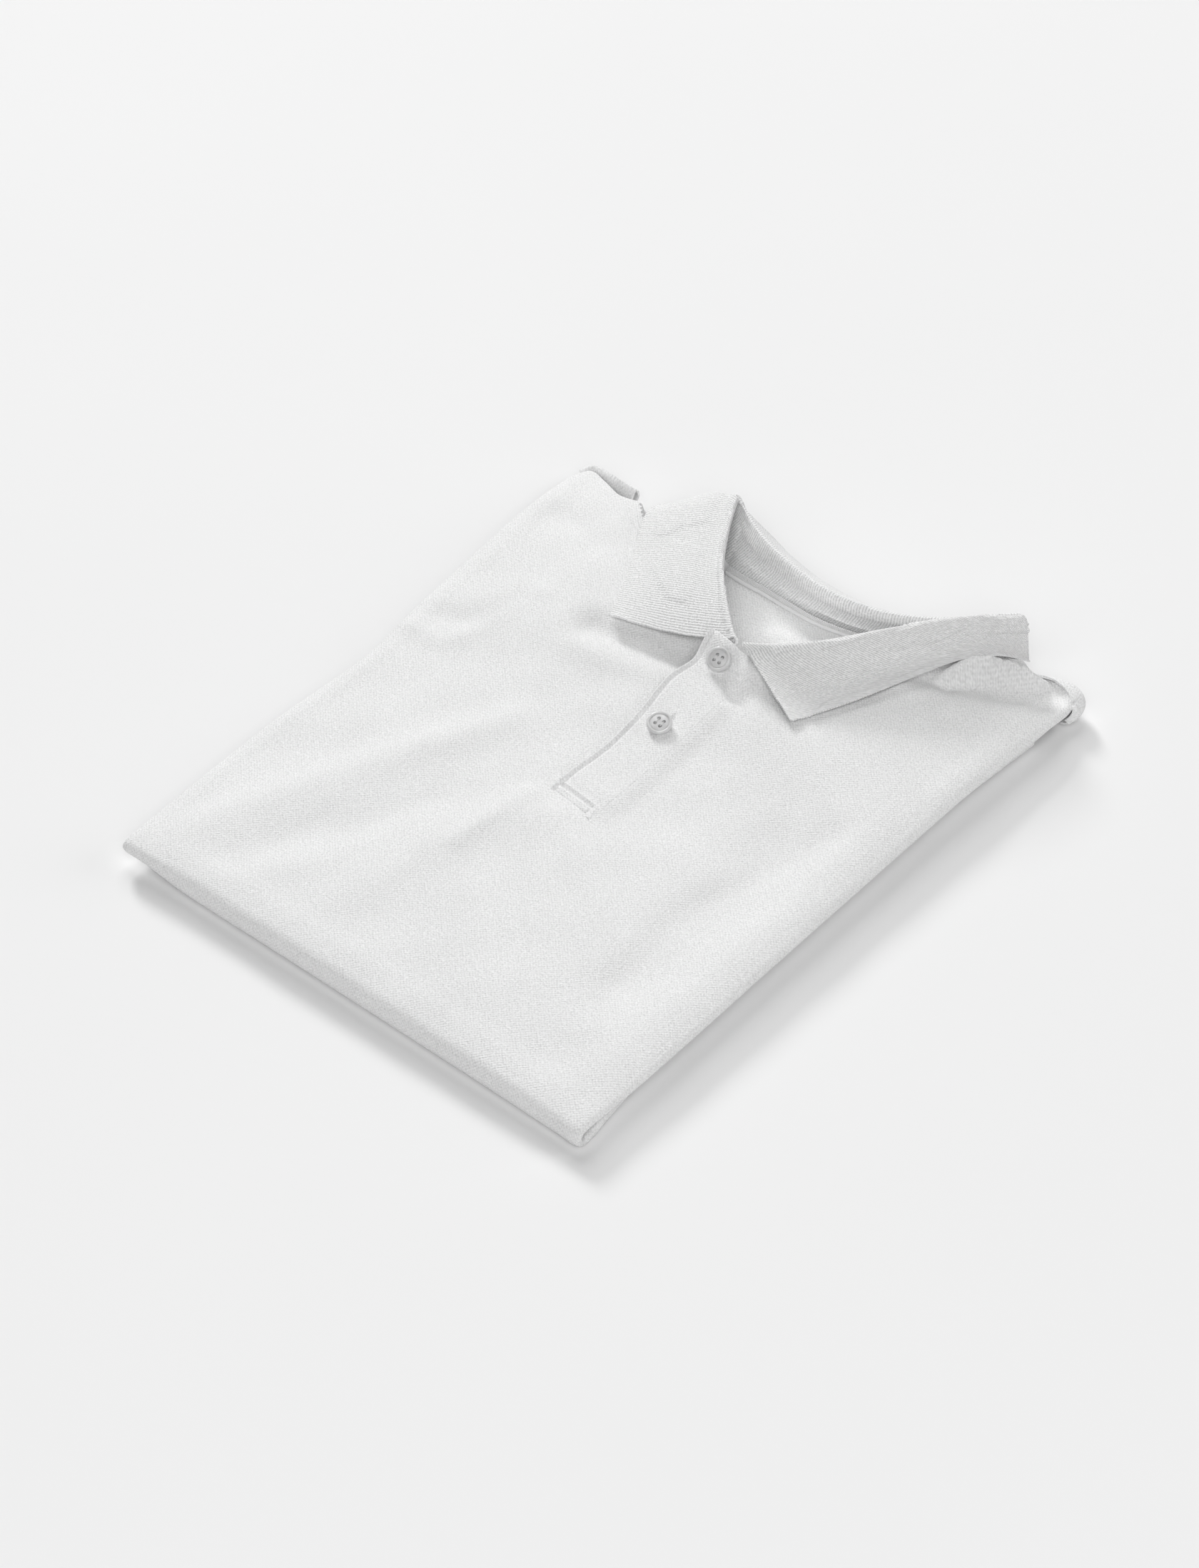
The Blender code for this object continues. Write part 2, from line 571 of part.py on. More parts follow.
def under_placket():
    """The under placket, behind the slot on the wearer's right front."""
    points = []
    for part in np.linspace(0, 1, 13):
        row = []
        for x in np.linspace(SLOT_LEFT + 2 * SEAM_GAP, PLACKET_RIGHT - 1, 5):
            y = PLACKET_FOOT + 3 + (UNDER_TOP_Y - PLACKET_FOOT - 3) * part
            height = float(top(x, y)) - float(lap_drop(PLACKET_LEFT, y))
            rise = UNDER_TOP_Z - float(top(x, UNDER_TOP_Y)) + LAP_DROP
            height += rise * math.exp(-((UNDER_TOP_Y - y) / NECK_REACH) ** 2)
            row.append((x, y, height - PIQUE - SEAM_GAP))
        points.append(row)
    return sheet("under_placket", np.array(points), BAND, WHITE_PIQUE, side=-1, up=False)


def back():
    """The upper back: its inner face shows in the neck, and it runs under the shoulders."""
    far = np.array(BACK_FAR, float)
    points = []
    for part in np.linspace(0, 1, BACK_ROWS):
        row = []
        for x, far_y, far_z in far:
            y = BACK_NEAR_Y + (far_y - BACK_NEAR_Y) * part
            limit = float(top(x, y)) - PIQUE - BACK_CLEAR
            row.append((x, y, min(BACK_NEAR_Z + (far_z - BACK_NEAR_Z) * float(ease(part)), limit)))
        points.append(row)
    return sheet("back", np.array(points), PIQUE, WHITE_PIQUE, side=-1, up=False)


def back_height(x, y):
    """Height of the back panel's inner face."""
    far_y, far_z = spline(BACK_FAR, x)
    part = (y - BACK_NEAR_Y) / (far_y - BACK_NEAR_Y)
    limit = float(top(x, y)) - PIQUE - BACK_CLEAR
    return min(BACK_NEAR_Z + (far_z - BACK_NEAR_Z) * float(ease(part)), limit)


def hidden_profile(x, upper_end, lower_end):
    """Outline in Y and Z of the hidden layers at one x."""
    inside = PIQUE + HIDDEN_CLEAR
    upper, lower = float(top(x, FOLD_Y + 8)), float(low(x, FOLD_Y))
    radius = (upper - lower) / 2
    reach = radius - inside
    nose = []
    for turn in np.linspace(-90, 90, 7):
        angle = math.radians(turn)
        nose.append((FOLD_Y + radius - reach * math.cos(angle), lower + radius + reach * math.sin(angle)))
    crest = [(y, float(top(x, y)) - inside) for y in (-144, -128, -108, -84, -60, -34)]
    for y in (-24, -5, 20, BACK_NEAR_Y - 5):
        crest.append((y, float(top(x, y) - lap_drop(PLACKET_LEFT, y)) - inside - BAND - SEAM_GAP))
    for part in (0.03, 0.25, 0.5, 0.75, 0.97):
        y = BACK_NEAR_Y + (upper_end - BACK_NEAR_Y) * part
        crest.append((y, back_height(x, y) - PIQUE - HIDDEN_BELOW_BACK))
    head = crest[-1][1]
    split = min(LEG_SPLIT, inside + HIDDEN_SPLIT * (head - inside))
    step, drop = (head - split) / 2, split - inside
    ends = [(upper_end, split + 1.5 * step), (upper_end - 3, split + step),
            (upper_end - 0.5, split + step / 2), (upper_end - 4, split + 0.05 * step),
            (min(upper_end, lower_end) - 9, split - 0.07 * drop), (lower_end - 3, split - 0.23 * drop),
            (lower_end, split - 0.5 * drop), (lower_end - 2, split - 0.75 * drop),
            (lower_end, split - 0.95 * drop), (lower_end - 2, inside)]
    base = [(y, float(low(x, y)) + inside) for y in (100, 0, -97, -119, -135, -150)]
    return nose + crest + ends + base


def hidden_layers():
    """The folded-away back, sides and sleeves, as one solid between the two legs."""
    stations = np.linspace(HIDDEN_LEFT, HIDDEN_RIGHT, HIDDEN_STATIONS)
    rings = []
    for x in stations:
        upper_end, lower_end = spline(HIDDEN_ENDS, x)
        rings.append([(x, y, z) for y, z in hidden_profile(x, upper_end, lower_end)])
    return loft("hidden_layers", np.array(rings), WHITE_PIQUE)


def sleeve(name, rows, up):
    """A folded-back sleeve's end: from the armhole seam over its fold to the layer below."""
    sections = [through([row[0:3], row[3:6], row[6:9], row[9:12]], SLEEVE_POINTS) for row in rows]
    points = np.array([section.ravel() for section in sections])
    points = through(points, 2 * len(rows) - 1).reshape(-1, SLEEVE_POINTS, 3)
    return sheet(name, points, PIQUE, WHITE_PIQUE, side=-1, up=up)


def surface_turn(x, y):
    """The turn that lays a flat piece on the placket at a place."""
    step = 3.0
    slope_x = (placket_surface(x + step, y) - placket_surface(x - step, y)) / (2 * step)
    slope_y = (placket_surface(x, y + step) - placket_surface(x, y - step)) / (2 * step)
    return Vector((-slope_x, -slope_y, 1.0)).normalized()


def button(name, x, y):
    """A four-hole button turned from its rim profile, lying on the placket."""
    profile = ((0, 2.0), (4.1, 2.0), (4.7, 2.5), (5.3, BUTTON_THICK), (BUTTON_RADIUS, 2.0),
               (BUTTON_RADIUS, 0.8), (5.2, 0.1), (3.0, 0.0), (0, 0))
    mesh = bpy.data.meshes.new(name)
    verts = [(radius * MM, 0.0, height * MM) for radius, height in profile]
    edges = [(step, step + 1) for step in range(len(verts) - 1)]
    mesh.from_pydata(verts, edges, [])
    part = bpy.data.objects.new(name, mesh)
    turn = part.modifiers.new("Turned", "SCREW")
    turn.steps = turn.render_steps = 28
    turn.use_merge_vertices = True
    turn.merge_threshold = 0.00001
    cut = part.modifiers.new("Holes", "BOOLEAN")
    cut.object = button_holes(name)
    normal = surface_turn(x, y)
    base = Vector((x, y, placket_surface(x, y) + BAND))
    place = base + normal * BUTTON_LIFT - Vector((*FOOTPRINT_MIDDLE, 0.0))
    for thing in (part, cut.object):
        thing.rotation_mode = "QUATERNION"
        thing.rotation_quaternion = Vector((0, 0, 1)).rotation_difference(normal)
        thing.location = place * MM
    return finish(part, PALE_PLASTIC)


def button_holes(name):
    """Cutter with the four thread holes."""
    holes = bmesh.new()
    for side_x in (-1, 1):
        for side_y in (-1, 1):
            place = Vector((side_x * BUTTON_HOLE_REACH, side_y * BUTTON_HOLE_REACH, BUTTON_THICK / 2)) * MM
            bmesh.ops.create_cone(holes, cap_ends=True, segments=10, radius1=BUTTON_HOLE * MM,
                                  radius2=BUTTON_HOLE * MM, depth=3 * BUTTON_THICK * MM,
                                  matrix=Matrix.Translation(place))
    mesh = bpy.data.meshes.new(name + "_holes")
    holes.to_mesh(mesh)
    holes.free()
    cutter = bpy.data.objects.new(name + "_holes", mesh)
    cutter.hide_render = True
    cutter.display_type = "WIRE"
    bpy.data.collections["cutters"].objects.link(cutter)
    return cutter


def loft(name, rings, material):
    """A solid skinned over closed rings of equal count, with flat ends."""
    mesh = bpy.data.meshes.new(name)
    solid = bmesh.new()
    middle = np.array([*FOOTPRINT_MIDDLE, 0.0])
    verts = [[solid.verts.new((point - middle) * MM) for point in ring] for ring in rings]
    count = len(rings[0])
    for near, far in zip(verts[:-1], verts[1:]):
        for step in range(count):
            after = (step + 1) % count
            solid.faces.new((near[step], near[after], far[after], far[step]))
    solid.faces.new(verts[0][::-1])
    solid.faces.new(verts[-1])
    bmesh.ops.recalc_face_normals(solid, faces=solid.faces)
    solid.to_mesh(mesh)
    solid.free()
    part = bpy.data.objects.new(name, mesh)
    return finish(part, material)


def main():
    """Clear the scene and build every piece."""
    for thing in list(bpy.data.objects):
        bpy.data.objects.remove(thing, do_unlink=True)
    for name in (COLLECTION, "cutters"):
        bpy.context.scene.collection.children.link(bpy.data.collections.new(name))
    front()
    back()
    hidden_layers()
    collar()
    neck_tape()
    placket()
    under_placket()
    sleeve("sleeve_left", SLEEVE_LEFT, up=False)
    sleeve("sleeve_right", SLEEVE_RIGHT, up=False)
    for name, x, y in BUTTONS:
        button(name, x, y)


main()
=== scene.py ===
"""How the folded polo shirt looks: cloth, collar, buttons, stitching, floor, light and camera.

Each piece repeats the form of its solid with a finer surface. +X is the wearer's left, +Y goes
to the collar and +Z is up. Sizes are in millimetres until the meshes are made.
"""
import math

import bmesh
import bpy
import numpy as np
from mathutils import Matrix, Vector


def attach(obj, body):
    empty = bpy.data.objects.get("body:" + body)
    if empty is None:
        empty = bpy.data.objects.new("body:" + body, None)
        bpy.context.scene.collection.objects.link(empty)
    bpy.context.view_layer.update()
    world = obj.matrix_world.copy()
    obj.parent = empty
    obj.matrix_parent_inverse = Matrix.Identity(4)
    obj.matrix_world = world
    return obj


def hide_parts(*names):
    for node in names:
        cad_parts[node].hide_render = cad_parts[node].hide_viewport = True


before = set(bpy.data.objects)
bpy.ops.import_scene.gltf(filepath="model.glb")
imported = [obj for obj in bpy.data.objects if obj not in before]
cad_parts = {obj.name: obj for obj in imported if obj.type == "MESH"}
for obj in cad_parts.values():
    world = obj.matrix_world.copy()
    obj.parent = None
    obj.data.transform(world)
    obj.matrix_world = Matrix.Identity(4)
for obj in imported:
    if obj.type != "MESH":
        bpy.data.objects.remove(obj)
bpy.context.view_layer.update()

MM = 0.001
FOOTPRINT_MIDDLE = (-6.3, 16.9)   # goes to the origin

# Walls and clearances
SEAM_GAP = 0.3
PIQUE = 1.2
RIB = 1.8
BAND = 1.3
TAPE = 0.8
TAPE_RISES = (0.6, 4.2)   # above the foot of the stand
CORD_RADIUS = 1.0
CORD_OFF = 0.55       # from the tape's face
CORD_RISE = TAPE_RISES[0] + 0.4 * CORD_RADIUS
CORD_SIDES = 12
TAPE_COLUMNS = 7
TAPE_STEPS = (1.0, 0.6)   # along it and across, when made finer
# Limit of the walls' thickening, steps of a rounded edge and what counts as one
WALL_CLAMP = 2.0
RIM_SEGMENTS = 3
SHARP = math.radians(50)

# The two legs and the bottom fold
FOLD_Y = -168.0
FOLD_INSET = 8.0      # the chest's height at the fold is read this far in
UNDER_Y = FOLD_Y + 7.5   # the lower leg runs from here to its hem
HEM_Y = 158.0
LEG_SPLIT = 7.0       # height between the two legs
LEG_PARTING = 0.5     # each leg stays this far from that height
LIP = 8.0             # cloth turned in past each side fold
FAN_Y = 20.0          # below this the cloth's columns run straight
FAN_BEND = 1.7        # and above it they fan out later than evenly
SIDE_PULL = 4         # the outer columns alone follow the side folds
DOME_POWER = 2.6      # the chest is flat in the middle and falls at the sides
FOLD_START = 12       # a fold of the chest grows to its height this fast from a side fold
FOLD_AT_EDGE = 0.25
TIP_LIFT = 6.0        # the near left corner is this far off the surface
TIP_SPLIT = 2.4       # and the legs part this much higher there
TIP_FROM = (-92.0, -122.0)   # x and y where it starts to rise, and the length it takes
TIP_OVER = 38.0
ROLL_REACH = 5.0      # shoulder end rounds down over this length
END_SLANT = 0.8       # a side fold's shoulder end runs back by this much of its depth
SLANT_POWER = 8       # in its last rows
NECK_REACH = 10.5     # the cloth rises to the neck seam over this length

# Side folds of the upper leg: y, outermost x, height of its top
LEFT_SIDE = ((-168, -135.5, 12.8), (-120, -137.6, 14.0), (-60, -138.2, 15.0), (0, -136.5, 15.5),
             (30, -140.5, 16.0), (84, -145.0, 17.0), (115, -147.5, 18.0), (145, -148.5, 17.0),
             (160, -148.6, 14.5), (172, -146.0, 12.0), (182, -142.0, 12.0))
RIGHT_SIDE = ((-168, 134.0, 11.0), (-120, 135.0, 13.0), (-40, 135.0, 14.0), (60, 135.2, 15.0),
              (100, 135.5, 15.5), (140, 137.0, 15.5), (172, 138.0, 13.0), (192, 136.5, 11.0))
# Side folds of the lower leg: y, outermost x
LEFT_UNDER = ((-168, -135.5), (-120, -131.0), (0, -130.0), (160, -134.0))
RIGHT_UNDER = ((-168, 134.0), (-125, 129.5), (0, 129.0), (100, 130.5), (160, 134.0))
# Height of the chest along the middle: y, z
MIDDLE = ((-168, 14.0), (-140, 17.0), (-100, 18.5), (-60, 19.0), (-24, 19.0), (0, 18.8), (20, 19.5),
          (40, 21.5), (60, 24.5), (80, 26.5), (100, 26.5), (130, 23.0), (160, 19.0), (190, 18.0))

ROUTE_POINTS = 17     # a fold's route is eased to this many points
# Soft folds of the chest: height, half width, route of x and y
FOLDS = (
    (-7.0, 7.0, ((66, 150), (80, 157), (95, 163), (110, 168), (122, 177), (130, 188))),
    (3.0, 8.0, ((72, 130), (90, 136), (106, 142), (120, 150), (131, 166))),
    (2.2, 9.0, ((-118, -140), (-92, -90), (-70, -40), (-52, 0))),
    (-2.0, 9.0, ((-88, -140), (-62, -96), (-40, -52))),
    (1.6, 10.0, ((-30, -120), (-20, -80), (-10, -40))),
    (1.6, 9.0, ((118, -140), (120, -60), (122, 20), (118, 70))),
    (-1.6, 12.0, ((96, -110), (98, -40), (92, 30))),
)

# Shoulder columns of the front: x where straight, x and y of the shoulder end, height there
LEFT_SHOULDER = ((-131.5, -140.5, 170.0, 11.0), (-121, -129.5, 167.2, 9.6),
                 (-110, -117.5, 162.4, 9.4), (-100, -109, 164.0, 8.0), (-90, -99, 169.5, 7.0),
                 (-80, -86, 171.5, 9.0))
RIGHT_SHOULDER = ((110, 110, 187.5, 13.5), (121, 121, 190.0, 13.0), (131.5, 132.8, 185.5, 11.8))

# The collar's rows round the neck: seam x y z, roll x y z, outer edge x y z, sag
COLLAR_LEFT = (
    (5, 95.5, 31, 3, 97, 35.3, -57.5, 79.5, 26.5, 3.0),
    (-6, 100, 29.5, -1, 98.5, 37.5, -60.5, 88, 26.5, 1.5),
    (-18, 106, 27, -11, 107.5, 39, -65.5, 97, 26.5, 0.0),
    (-27, 114, 24.5, -21, 117, 40, -70, 108, 26, -1.0),
    (-35, 123, 22.5, -28, 125, 40, -77, 121, 25, -1.5),
    (-41, 131, 21, -34, 132, 40, -85, 133, 24.5, -1.5),
    (-48, 143, 19.5, -42, 145.3, 40, -92, 144.5, 24, -1.5),
    (-55, 156, 18.5, -49.5, 157, 40, -97.5, 156.5, 24, -1.5),
    (-62, 168, 17.5, -57.5, 171.5, 41.0, -97, 167.5, 20.0, -4.4),
)
COLLAR_BACK = (
    (-60, 166, 15.5, -56.5, 175.5, 39.8, -78, 184, 11, -4.2),
    (-50, 154.5, 13.5, -43.5, 167.0, 35.4, -46, 186, 9.5, -3.0),
    (-38, 152, 13, -31, 161.5, 34.8, -32, 182, 9.5, -3.0),
    (-22, 152, 13, -18, 157.6, 34.8, -16, 178, 9.5, -3.0),
    (-6, 151.5, 13, -4, 154.6, 34.8, -2, 175, 9.5, -3.0),
    (10, 151.5, 13, 10, 151.5, 34.8, 12, 174, 9.5, -3.0),
    (24, 153.5, 13, 23, 151.5, 34.8, 27, 175, 9.5, -3.0),
    (38, 157.5, 13, 36, 153.5, 34.8, 42, 178, 9.5, -3.0),
    (54, 163.5, 13.5, 52, 159, 34.8, 60, 184, 10, -3.0),
    (69, 174, 15, 68, 171, 34, 75, 194, 11, -2.5),
    (81, 184.5, 17, 81, 184, 33.5, 89, 201, 11.5, -2.0),
    (88, 190.5, 18.5, 94.5, 195.0, 37.0, 101.5, 197.0, 11.5, -1.5),
)
COLLAR_RIGHT = (
    (93, 190, 19.5, 100.8, 192.3, 39.0, 105.0, 190.8, 13.0, -0.6),
    (92.5, 184.5, 20.5, 95.5, 187.3, 40.6, 103.0, 185.8, 21.0, 0.3),
    (86, 178, 21, 87.5, 178.6, 42.5, 93.6, 177.4, 25.2, 1.0),
    (80, 167, 22, 81, 166, 45, 85.9, 164.0, 25.2, 1.5),
    (74, 156, 23.5, 74.5, 156, 46.2, 81, 150, 25, 4.0),
    (69, 145.5, 24.5, 67.5, 147, 46.3, 77, 136, 26, 4.6),
    (64.5, 134, 26, 60.5, 137, 46.3, 73, 122, 26.5, 4.8),
    (59.5, 124, 27.5, 54, 127.5, 46, 69, 109, 27, 4.8),
    (53.5, 115, 29, 47, 118, 45.5, 64, 97, 27, 4.8),
    (45, 107.5, 31.5, 40, 109, 44.5, 58.5, 86.5, 27, 4.8),
    (33, 100.5, 33, 31, 101.5, 43, 56.5, 81.5, 27, 4.0),
    (22, 97, 32.9, 22, 95, 41, 55, 78.5, 27, 1.0),
    (11, 95.6, 36.0, 12.5, 92.3, 39.8, 53.5, 76, 27, -0.3),
)
ROLL_HALF = 1.7       # half the breadth of the collar's roll
ROLL_OUTER = 1.3      # its outer side is this much broader
COLLAR_STEPS = 2      # sections from one row to the next
COLLAR_POINTS = 18    # points across the collar

# Plackets and buttons
PLACKET_LEFT = -9.0
PLACKET_RIGHT = 20.5
PLACKET_FOOT = -24.0
PLACKET_TOP_LEFT = 94.3
PLACKET_TOP_RIGHT = 92.2
PLACKET_TOP_Z_LEFT = 38.0
PLACKET_TOP_Z_RIGHT = 34.4
PLACKET_GAP = 0.55    # to the front under it
SLOT_LEFT = -7.0      # the front is cut out under the plackets from here
SLOT_RIGHT = 18.0     # to here
SLOT_FOOT = -18.0
SLOT_LEFT_TOP = (98.6, 28.5)   # y and z where the cut's sides meet the neck
SLOT_RIGHT_TOP = (93.2, 31.4)
LEFT_NECK = (-70, SLOT_LEFT - 8)   # x where the neck's columns run straight
RIGHT_NECK = (SLOT_RIGHT + 9, 101)
UNDER_TOP_Y = 93.0
UNDER_TOP_Z = 28.5
BAND_ROWS = 170       # of points on the upper placket, closer together at its top and free edge
BAND_COLUMNS = 60
BAND_CROWD_TOP = 1.2
BAND_CROWD_EDGE = 1.25
UNDER_STEPS = 1.6     # of the under placket's finer points
UNDER_ROWS = 13       # of its first ones
UNDER_COLUMNS = 5
UNDER_FOOT = PLACKET_FOOT + 3   # it ends this much short of the upper one
UNDER_RIGHT = PLACKET_RIGHT - 1
LAP_DROP = 6.0        # the under front lies this much lower at the neck
LAP_FROM = 30.0       # from this y on, over this length, and this far to the side
LAP_OVER = 50.0
LAP_REACH = 32.0
SLOT_EDGE = 3         # columns of the front that run on under the placket's free edge
BUTTON_RADIUS = 5.9
BUTTON_THICK = 2.6
BUTTON_HOLE = 0.85
BUTTON_HOLE_REACH = 1.45
BUTTON_LIFT = 1.1      # thread holds it clear of the curved cloth
BUTTON_LEAN = (0.65, -0.75, 0.0)   # and it hangs over to the near side
BUTTONS = (("button_1", 6.0, 83.5), ("button_2", 7.2, 38.5))
LEANS = ((38.5, 0.2), (83.5, 0.13))   # y, lean
SLOPE_STEP = 3.0      # the placket's slope under a button is read over this distance
BUTTON_TURNS = 72     # steps round a button, and round each of its holes
HOLE_SIDES = 24
MERGE = 0.00001       # points of the turned button closer than this are one, in metres
# Half the outline of a button's section: distance from its axis, height
BUTTON_PROFILE = ((0, 2.25), (3.9, 2.3), (4.1, 2.2), (4.25, 1.75), (4.55, 1.75), (4.7, 2.3),
                  (4.85, 2.5), (5.2, BUTTON_THICK), (5.6, 2.5), (5.82, 2.2), (BUTTON_RADIUS, 1.8),
                  (BUTTON_RADIUS, 0.9), (5.7, 0.4), (5.2, 0.1), (3.0, 0.0), (0, 0))
STRAND_HALF = 0.16    # half the distance between a button's two threads
STRAND_RADIUS = 0.11
STRAND_FOOT = 1.75    # they arch up from this height on the button by this much
STRAND_ARCH = 0.62
STRAND_POWER = 0.6    # a flat arch
STRAND_POINTS = 13
STRAND_SIDES = 7

# Back panel: x of each column, y and z of its far edge
BACK_NEAR_Y = 54.0
BACK_NEAR_Z = 15.5
BACK_FAR = ((-116, 164.0, 6.4), (-98, 166.5, 6.6), (-82, 167.5, 8.6), (-68, 163.0, 11.0),
            (-58, 157.0, 12.6), (-49, 150.6, 13.0), (-36, 150.5, 13.0), (-22, 150.5, 13.0),
            (-6, 150.0, 13.0), (9, 150.0, 13.0), (23, 151.7, 13.0), (37, 155.6, 13.0),
            (54, 161.5, 13.0), (71, 170.4, 12.0), (86, 180.0, 7.8), (96, 182.0, 7.2),
            (107, 183.0, 7.0), (118, 184.5, 6.8))
BACK_CLEAR = 1.6      # the back panel stays this far below the front
BACK_ROWS = 10

# Folded-back sleeve ends: armhole seam, crest, fold and lower layer, each x y z
SLEEVE_POINTS = 12
SLEEVE_LEFT = (
    (113, 186.6, 13.2, 114.2, 188.6, 11.4, 115, 190.4, 7.6, 113, 185, 5.0),
    (120.5, 188.8, 13.4, 122, 191.6, 12.2, 123, 193.8, 7.8, 119, 186, 4.6),
    (127.5, 187.9, 13.2, 129.8, 192.6, 12.2, 131, 194.8, 7.6, 124, 185, 4.4),
    (132.4, 185.8, 12.2, 135.6, 190.4, 11.2, 136.4, 191.8, 6.6, 127, 183, 4.2),
    (135.8, 183.6, 10.2, 138.6, 187.0, 9.2, 138.4, 187.8, 5.4, 129, 180, 4.0),
    (137.8, 181.0, 8.9, 138.9, 182.5, 7.8, 138.7, 183.1, 5.0, 131, 178.5, 3.6),
    (137.3, 179.0, 7.2, 138.3, 179.8, 6.4, 138.2, 180.2, 4.6, 131.5, 177.8, 3.4),
    (136.2, 177.4, 5.6, 137.2, 177.7, 5.3, 137.2, 177.9, 4.2, 132, 176.6, 3.2),
)
SLEEVE_RIGHT = (
    (-149.4, 165.0, 7.2, -150.0, 166.5, 9.6, -151.0, 168.5, 6.6, -143, 164.0, 2.4),
    (-147.0, 170.0, 7.6, -147.6, 172.4, 10.4, -148.6, 174.2, 6.4, -141, 167, 2.4),
    (-141.5, 169.6, 6.6, -141.9, 172.8, 10.9, -142.6, 174.4, 6.2, -137, 167, 2.4),
    (-136, 169.0, 4.6, -136, 172.6, 10.9, -136, 174.2, 6.2, -132, 167, 2.2),
    (-130, 168.4, 3.6, -130, 172.3, 10.9, -130, 173.9, 6.2, -128, 167, 2.0),
    (-124, 168.0, 3.2, -124, 172.0, 10.8, -124, 173.6, 6.2, -123.5, 166.6, 1.8),
    (-118.5, 167.6, 3.0, -118.3, 171.7, 10.7, -118.3, 173.2, 6.2, -118.5, 166.4, 1.6),
)

# Hidden layers: x, y where the upper and the lower layers end
HIDDEN_ENDS = ((-121, 161, 156), (-95, 164, 156), (-80, 163, 156), (-66, 157, 156), (-54, 147, 156),
               (-20, 147, 156), (12, 147, 156), (36, 152, 156), (56, 158, 156), (74, 167, 156),
               (92, 175, 156), (106, 178, 156), (120, 178, 156))
HIDDEN_CLEAR = 1.5    # to the walls round them
HIDDEN_BELOW_BACK = 1.9
HIDDEN_SPLIT = 0.6     # of the layers' height, where they are thin
HIDDEN_LEFT = -116.5
HIDDEN_RIGHT = 115.5
HIDDEN_STATIONS = 21
HIDDEN_STEPS = (5.0, 1.6)   # between the stations and round each of them, when made finer
HIDDEN_WAVES = ((0.8, 13.0, 0.0), (0.5, 5.7, 1.0))   # their ends waver: reach, length, start
UNDER_CHEST_Y = (-144, -128, -108, -84, -60, -34)
UNDER_PLACKET_Y = (-24, -5, 20, BACK_NEAR_Y - 5)
UNDER_BACK_PARTS = (0.03, 0.25, 0.5, 0.75, 0.97)
HIDDEN_BASE_Y = (100, 0, -97, -119, -135, -150)
NOSE_TURNS = 7
# Their layered ends: how far each point lies back, and its part of the height from the split
UPPER_ENDS = ((0, 1.5), (3, 1), (0.5, 0.5), (4, 0.05))
DEEPEST_END = (9, 0.07)
LOWER_ENDS = ((3, 0.23), (0, 0.5), (2, 0.75), (0, 0.95), (2, 1))

# Rows of the front: parts of the fanned length, y of the straight rows, parts of the lower leg
FAN_PARTS = (1.0, 0.988, 0.97, 0.945, 0.91, 0.87, 0.82, 0.76, 0.68, 0.59, 0.48, 0.36, 0.24, 0.12)
STRAIGHT_Y = (FAN_Y, 1, SLOT_FOOT, -38, -60, -84, -108, -128, -144)
BEND_TURNS = 7
UNDER_PARTS = (0.035, 0.08, 0.13, 0.2, 0.4, 0.6, 0.8, 1.0)
CURL_TURNS = (50, 95, 140, 180)   # degrees round a side fold
CURLS = len(CURL_TURNS) + 1       # points of a row past the panel at each side, with the lip

# Finer surface: distance between rows or columns
CHEST_STEP = 2.2
CURL_STEP = 1.6
UNDER_STEP = 7.0
COLLAR_STEP = 1.4
BACK_STEP = 2.0
SLEEVE_STEP = 1.1
RIM = 0.3             # rounding of cut edges

# More soft folds of the chest: height, half width, route of x and y
CHEST_FOLDS = (
    (-4.3, 8.5, ((-61, 72), (-46, 75), (-31, 79), (-17, 84))),
    (1.2, 7.0, ((-60, 55), (-40, 58), (-20, 64))),
    (-3.8, 5.2, ((11.5, 88), (16, 80.5), (23, 74))),
    (1.2, 6.0, ((-131, 22), (-111, 23), (-103, 47), (-95, 74))),
    (-1.4, 7.0, ((-126, 36), (-108, 44), (-98, 66))),
    (-1.2, 8.0, ((-130, 124), (-112, 126), (-98, 118))),
    (0.9, 5.0, ((-12, -30), (-14, -50), (-17, -76))),
    (-0.9, 7.0, ((93, -92), (88, -42), (100, -1), (108, 36))),
    (0.8, 7.0, ((6, -34), (50, -60), (100, -120))),
    (0.7, 6.0, ((66, 76), (88, 52), (104, 20))),
)
# The near shoulder's cloth passes through these lines, each a row of x, y, z: the ridge along its
# seam, the steep face below it, and the valley
SHOULDER_LINES = (
    ((83.5, 153.0, 21.0), (87.2, 160.0, 22.8), (92.0, 169.0, 24.6), (97.2, 173.4, 24.0),
     (106.3, 179.6, 20.6), (114.5, 185.2, 17.0), (121.8, 189.0, 14.2)),
    ((85.6, 152.0, 17.4), (89.6, 159.4, 17.8), (94.4, 167.0, 17.8), (99.6, 170.8, 16.6),
     (108.2, 176.8, 14.0), (115.6, 182.4, 12.2), (122.6, 186.3, 11.5)),
    ((88.0, 149.6, 14.6), (93.0, 158.0, 12.6), (101.0, 165.4, 10.6), (109.6, 170.6, 9.5),
     (117.4, 175.8, 9.3), (124.2, 181.8, 9.9)),
)
SHOULDER_KEPT = ((80, 136), (88, 140), (98, 144), (108, 149), (118, 155), (127, 163), (132, 173),
                 (132.5, 184), (88, 175), (97, 182), (107, 187))   # the cloth keeps its height here
SHOULDER_REACH = 5.0
SHOULDER_SLACK = 0.05   # how freely it may miss the lines
SHOULDER_DENSITY = 3    # points for each given one of a line
NEAREST = 5             # a height is read from this many points, the closer the more
NEAREST_SOFT = 0.05
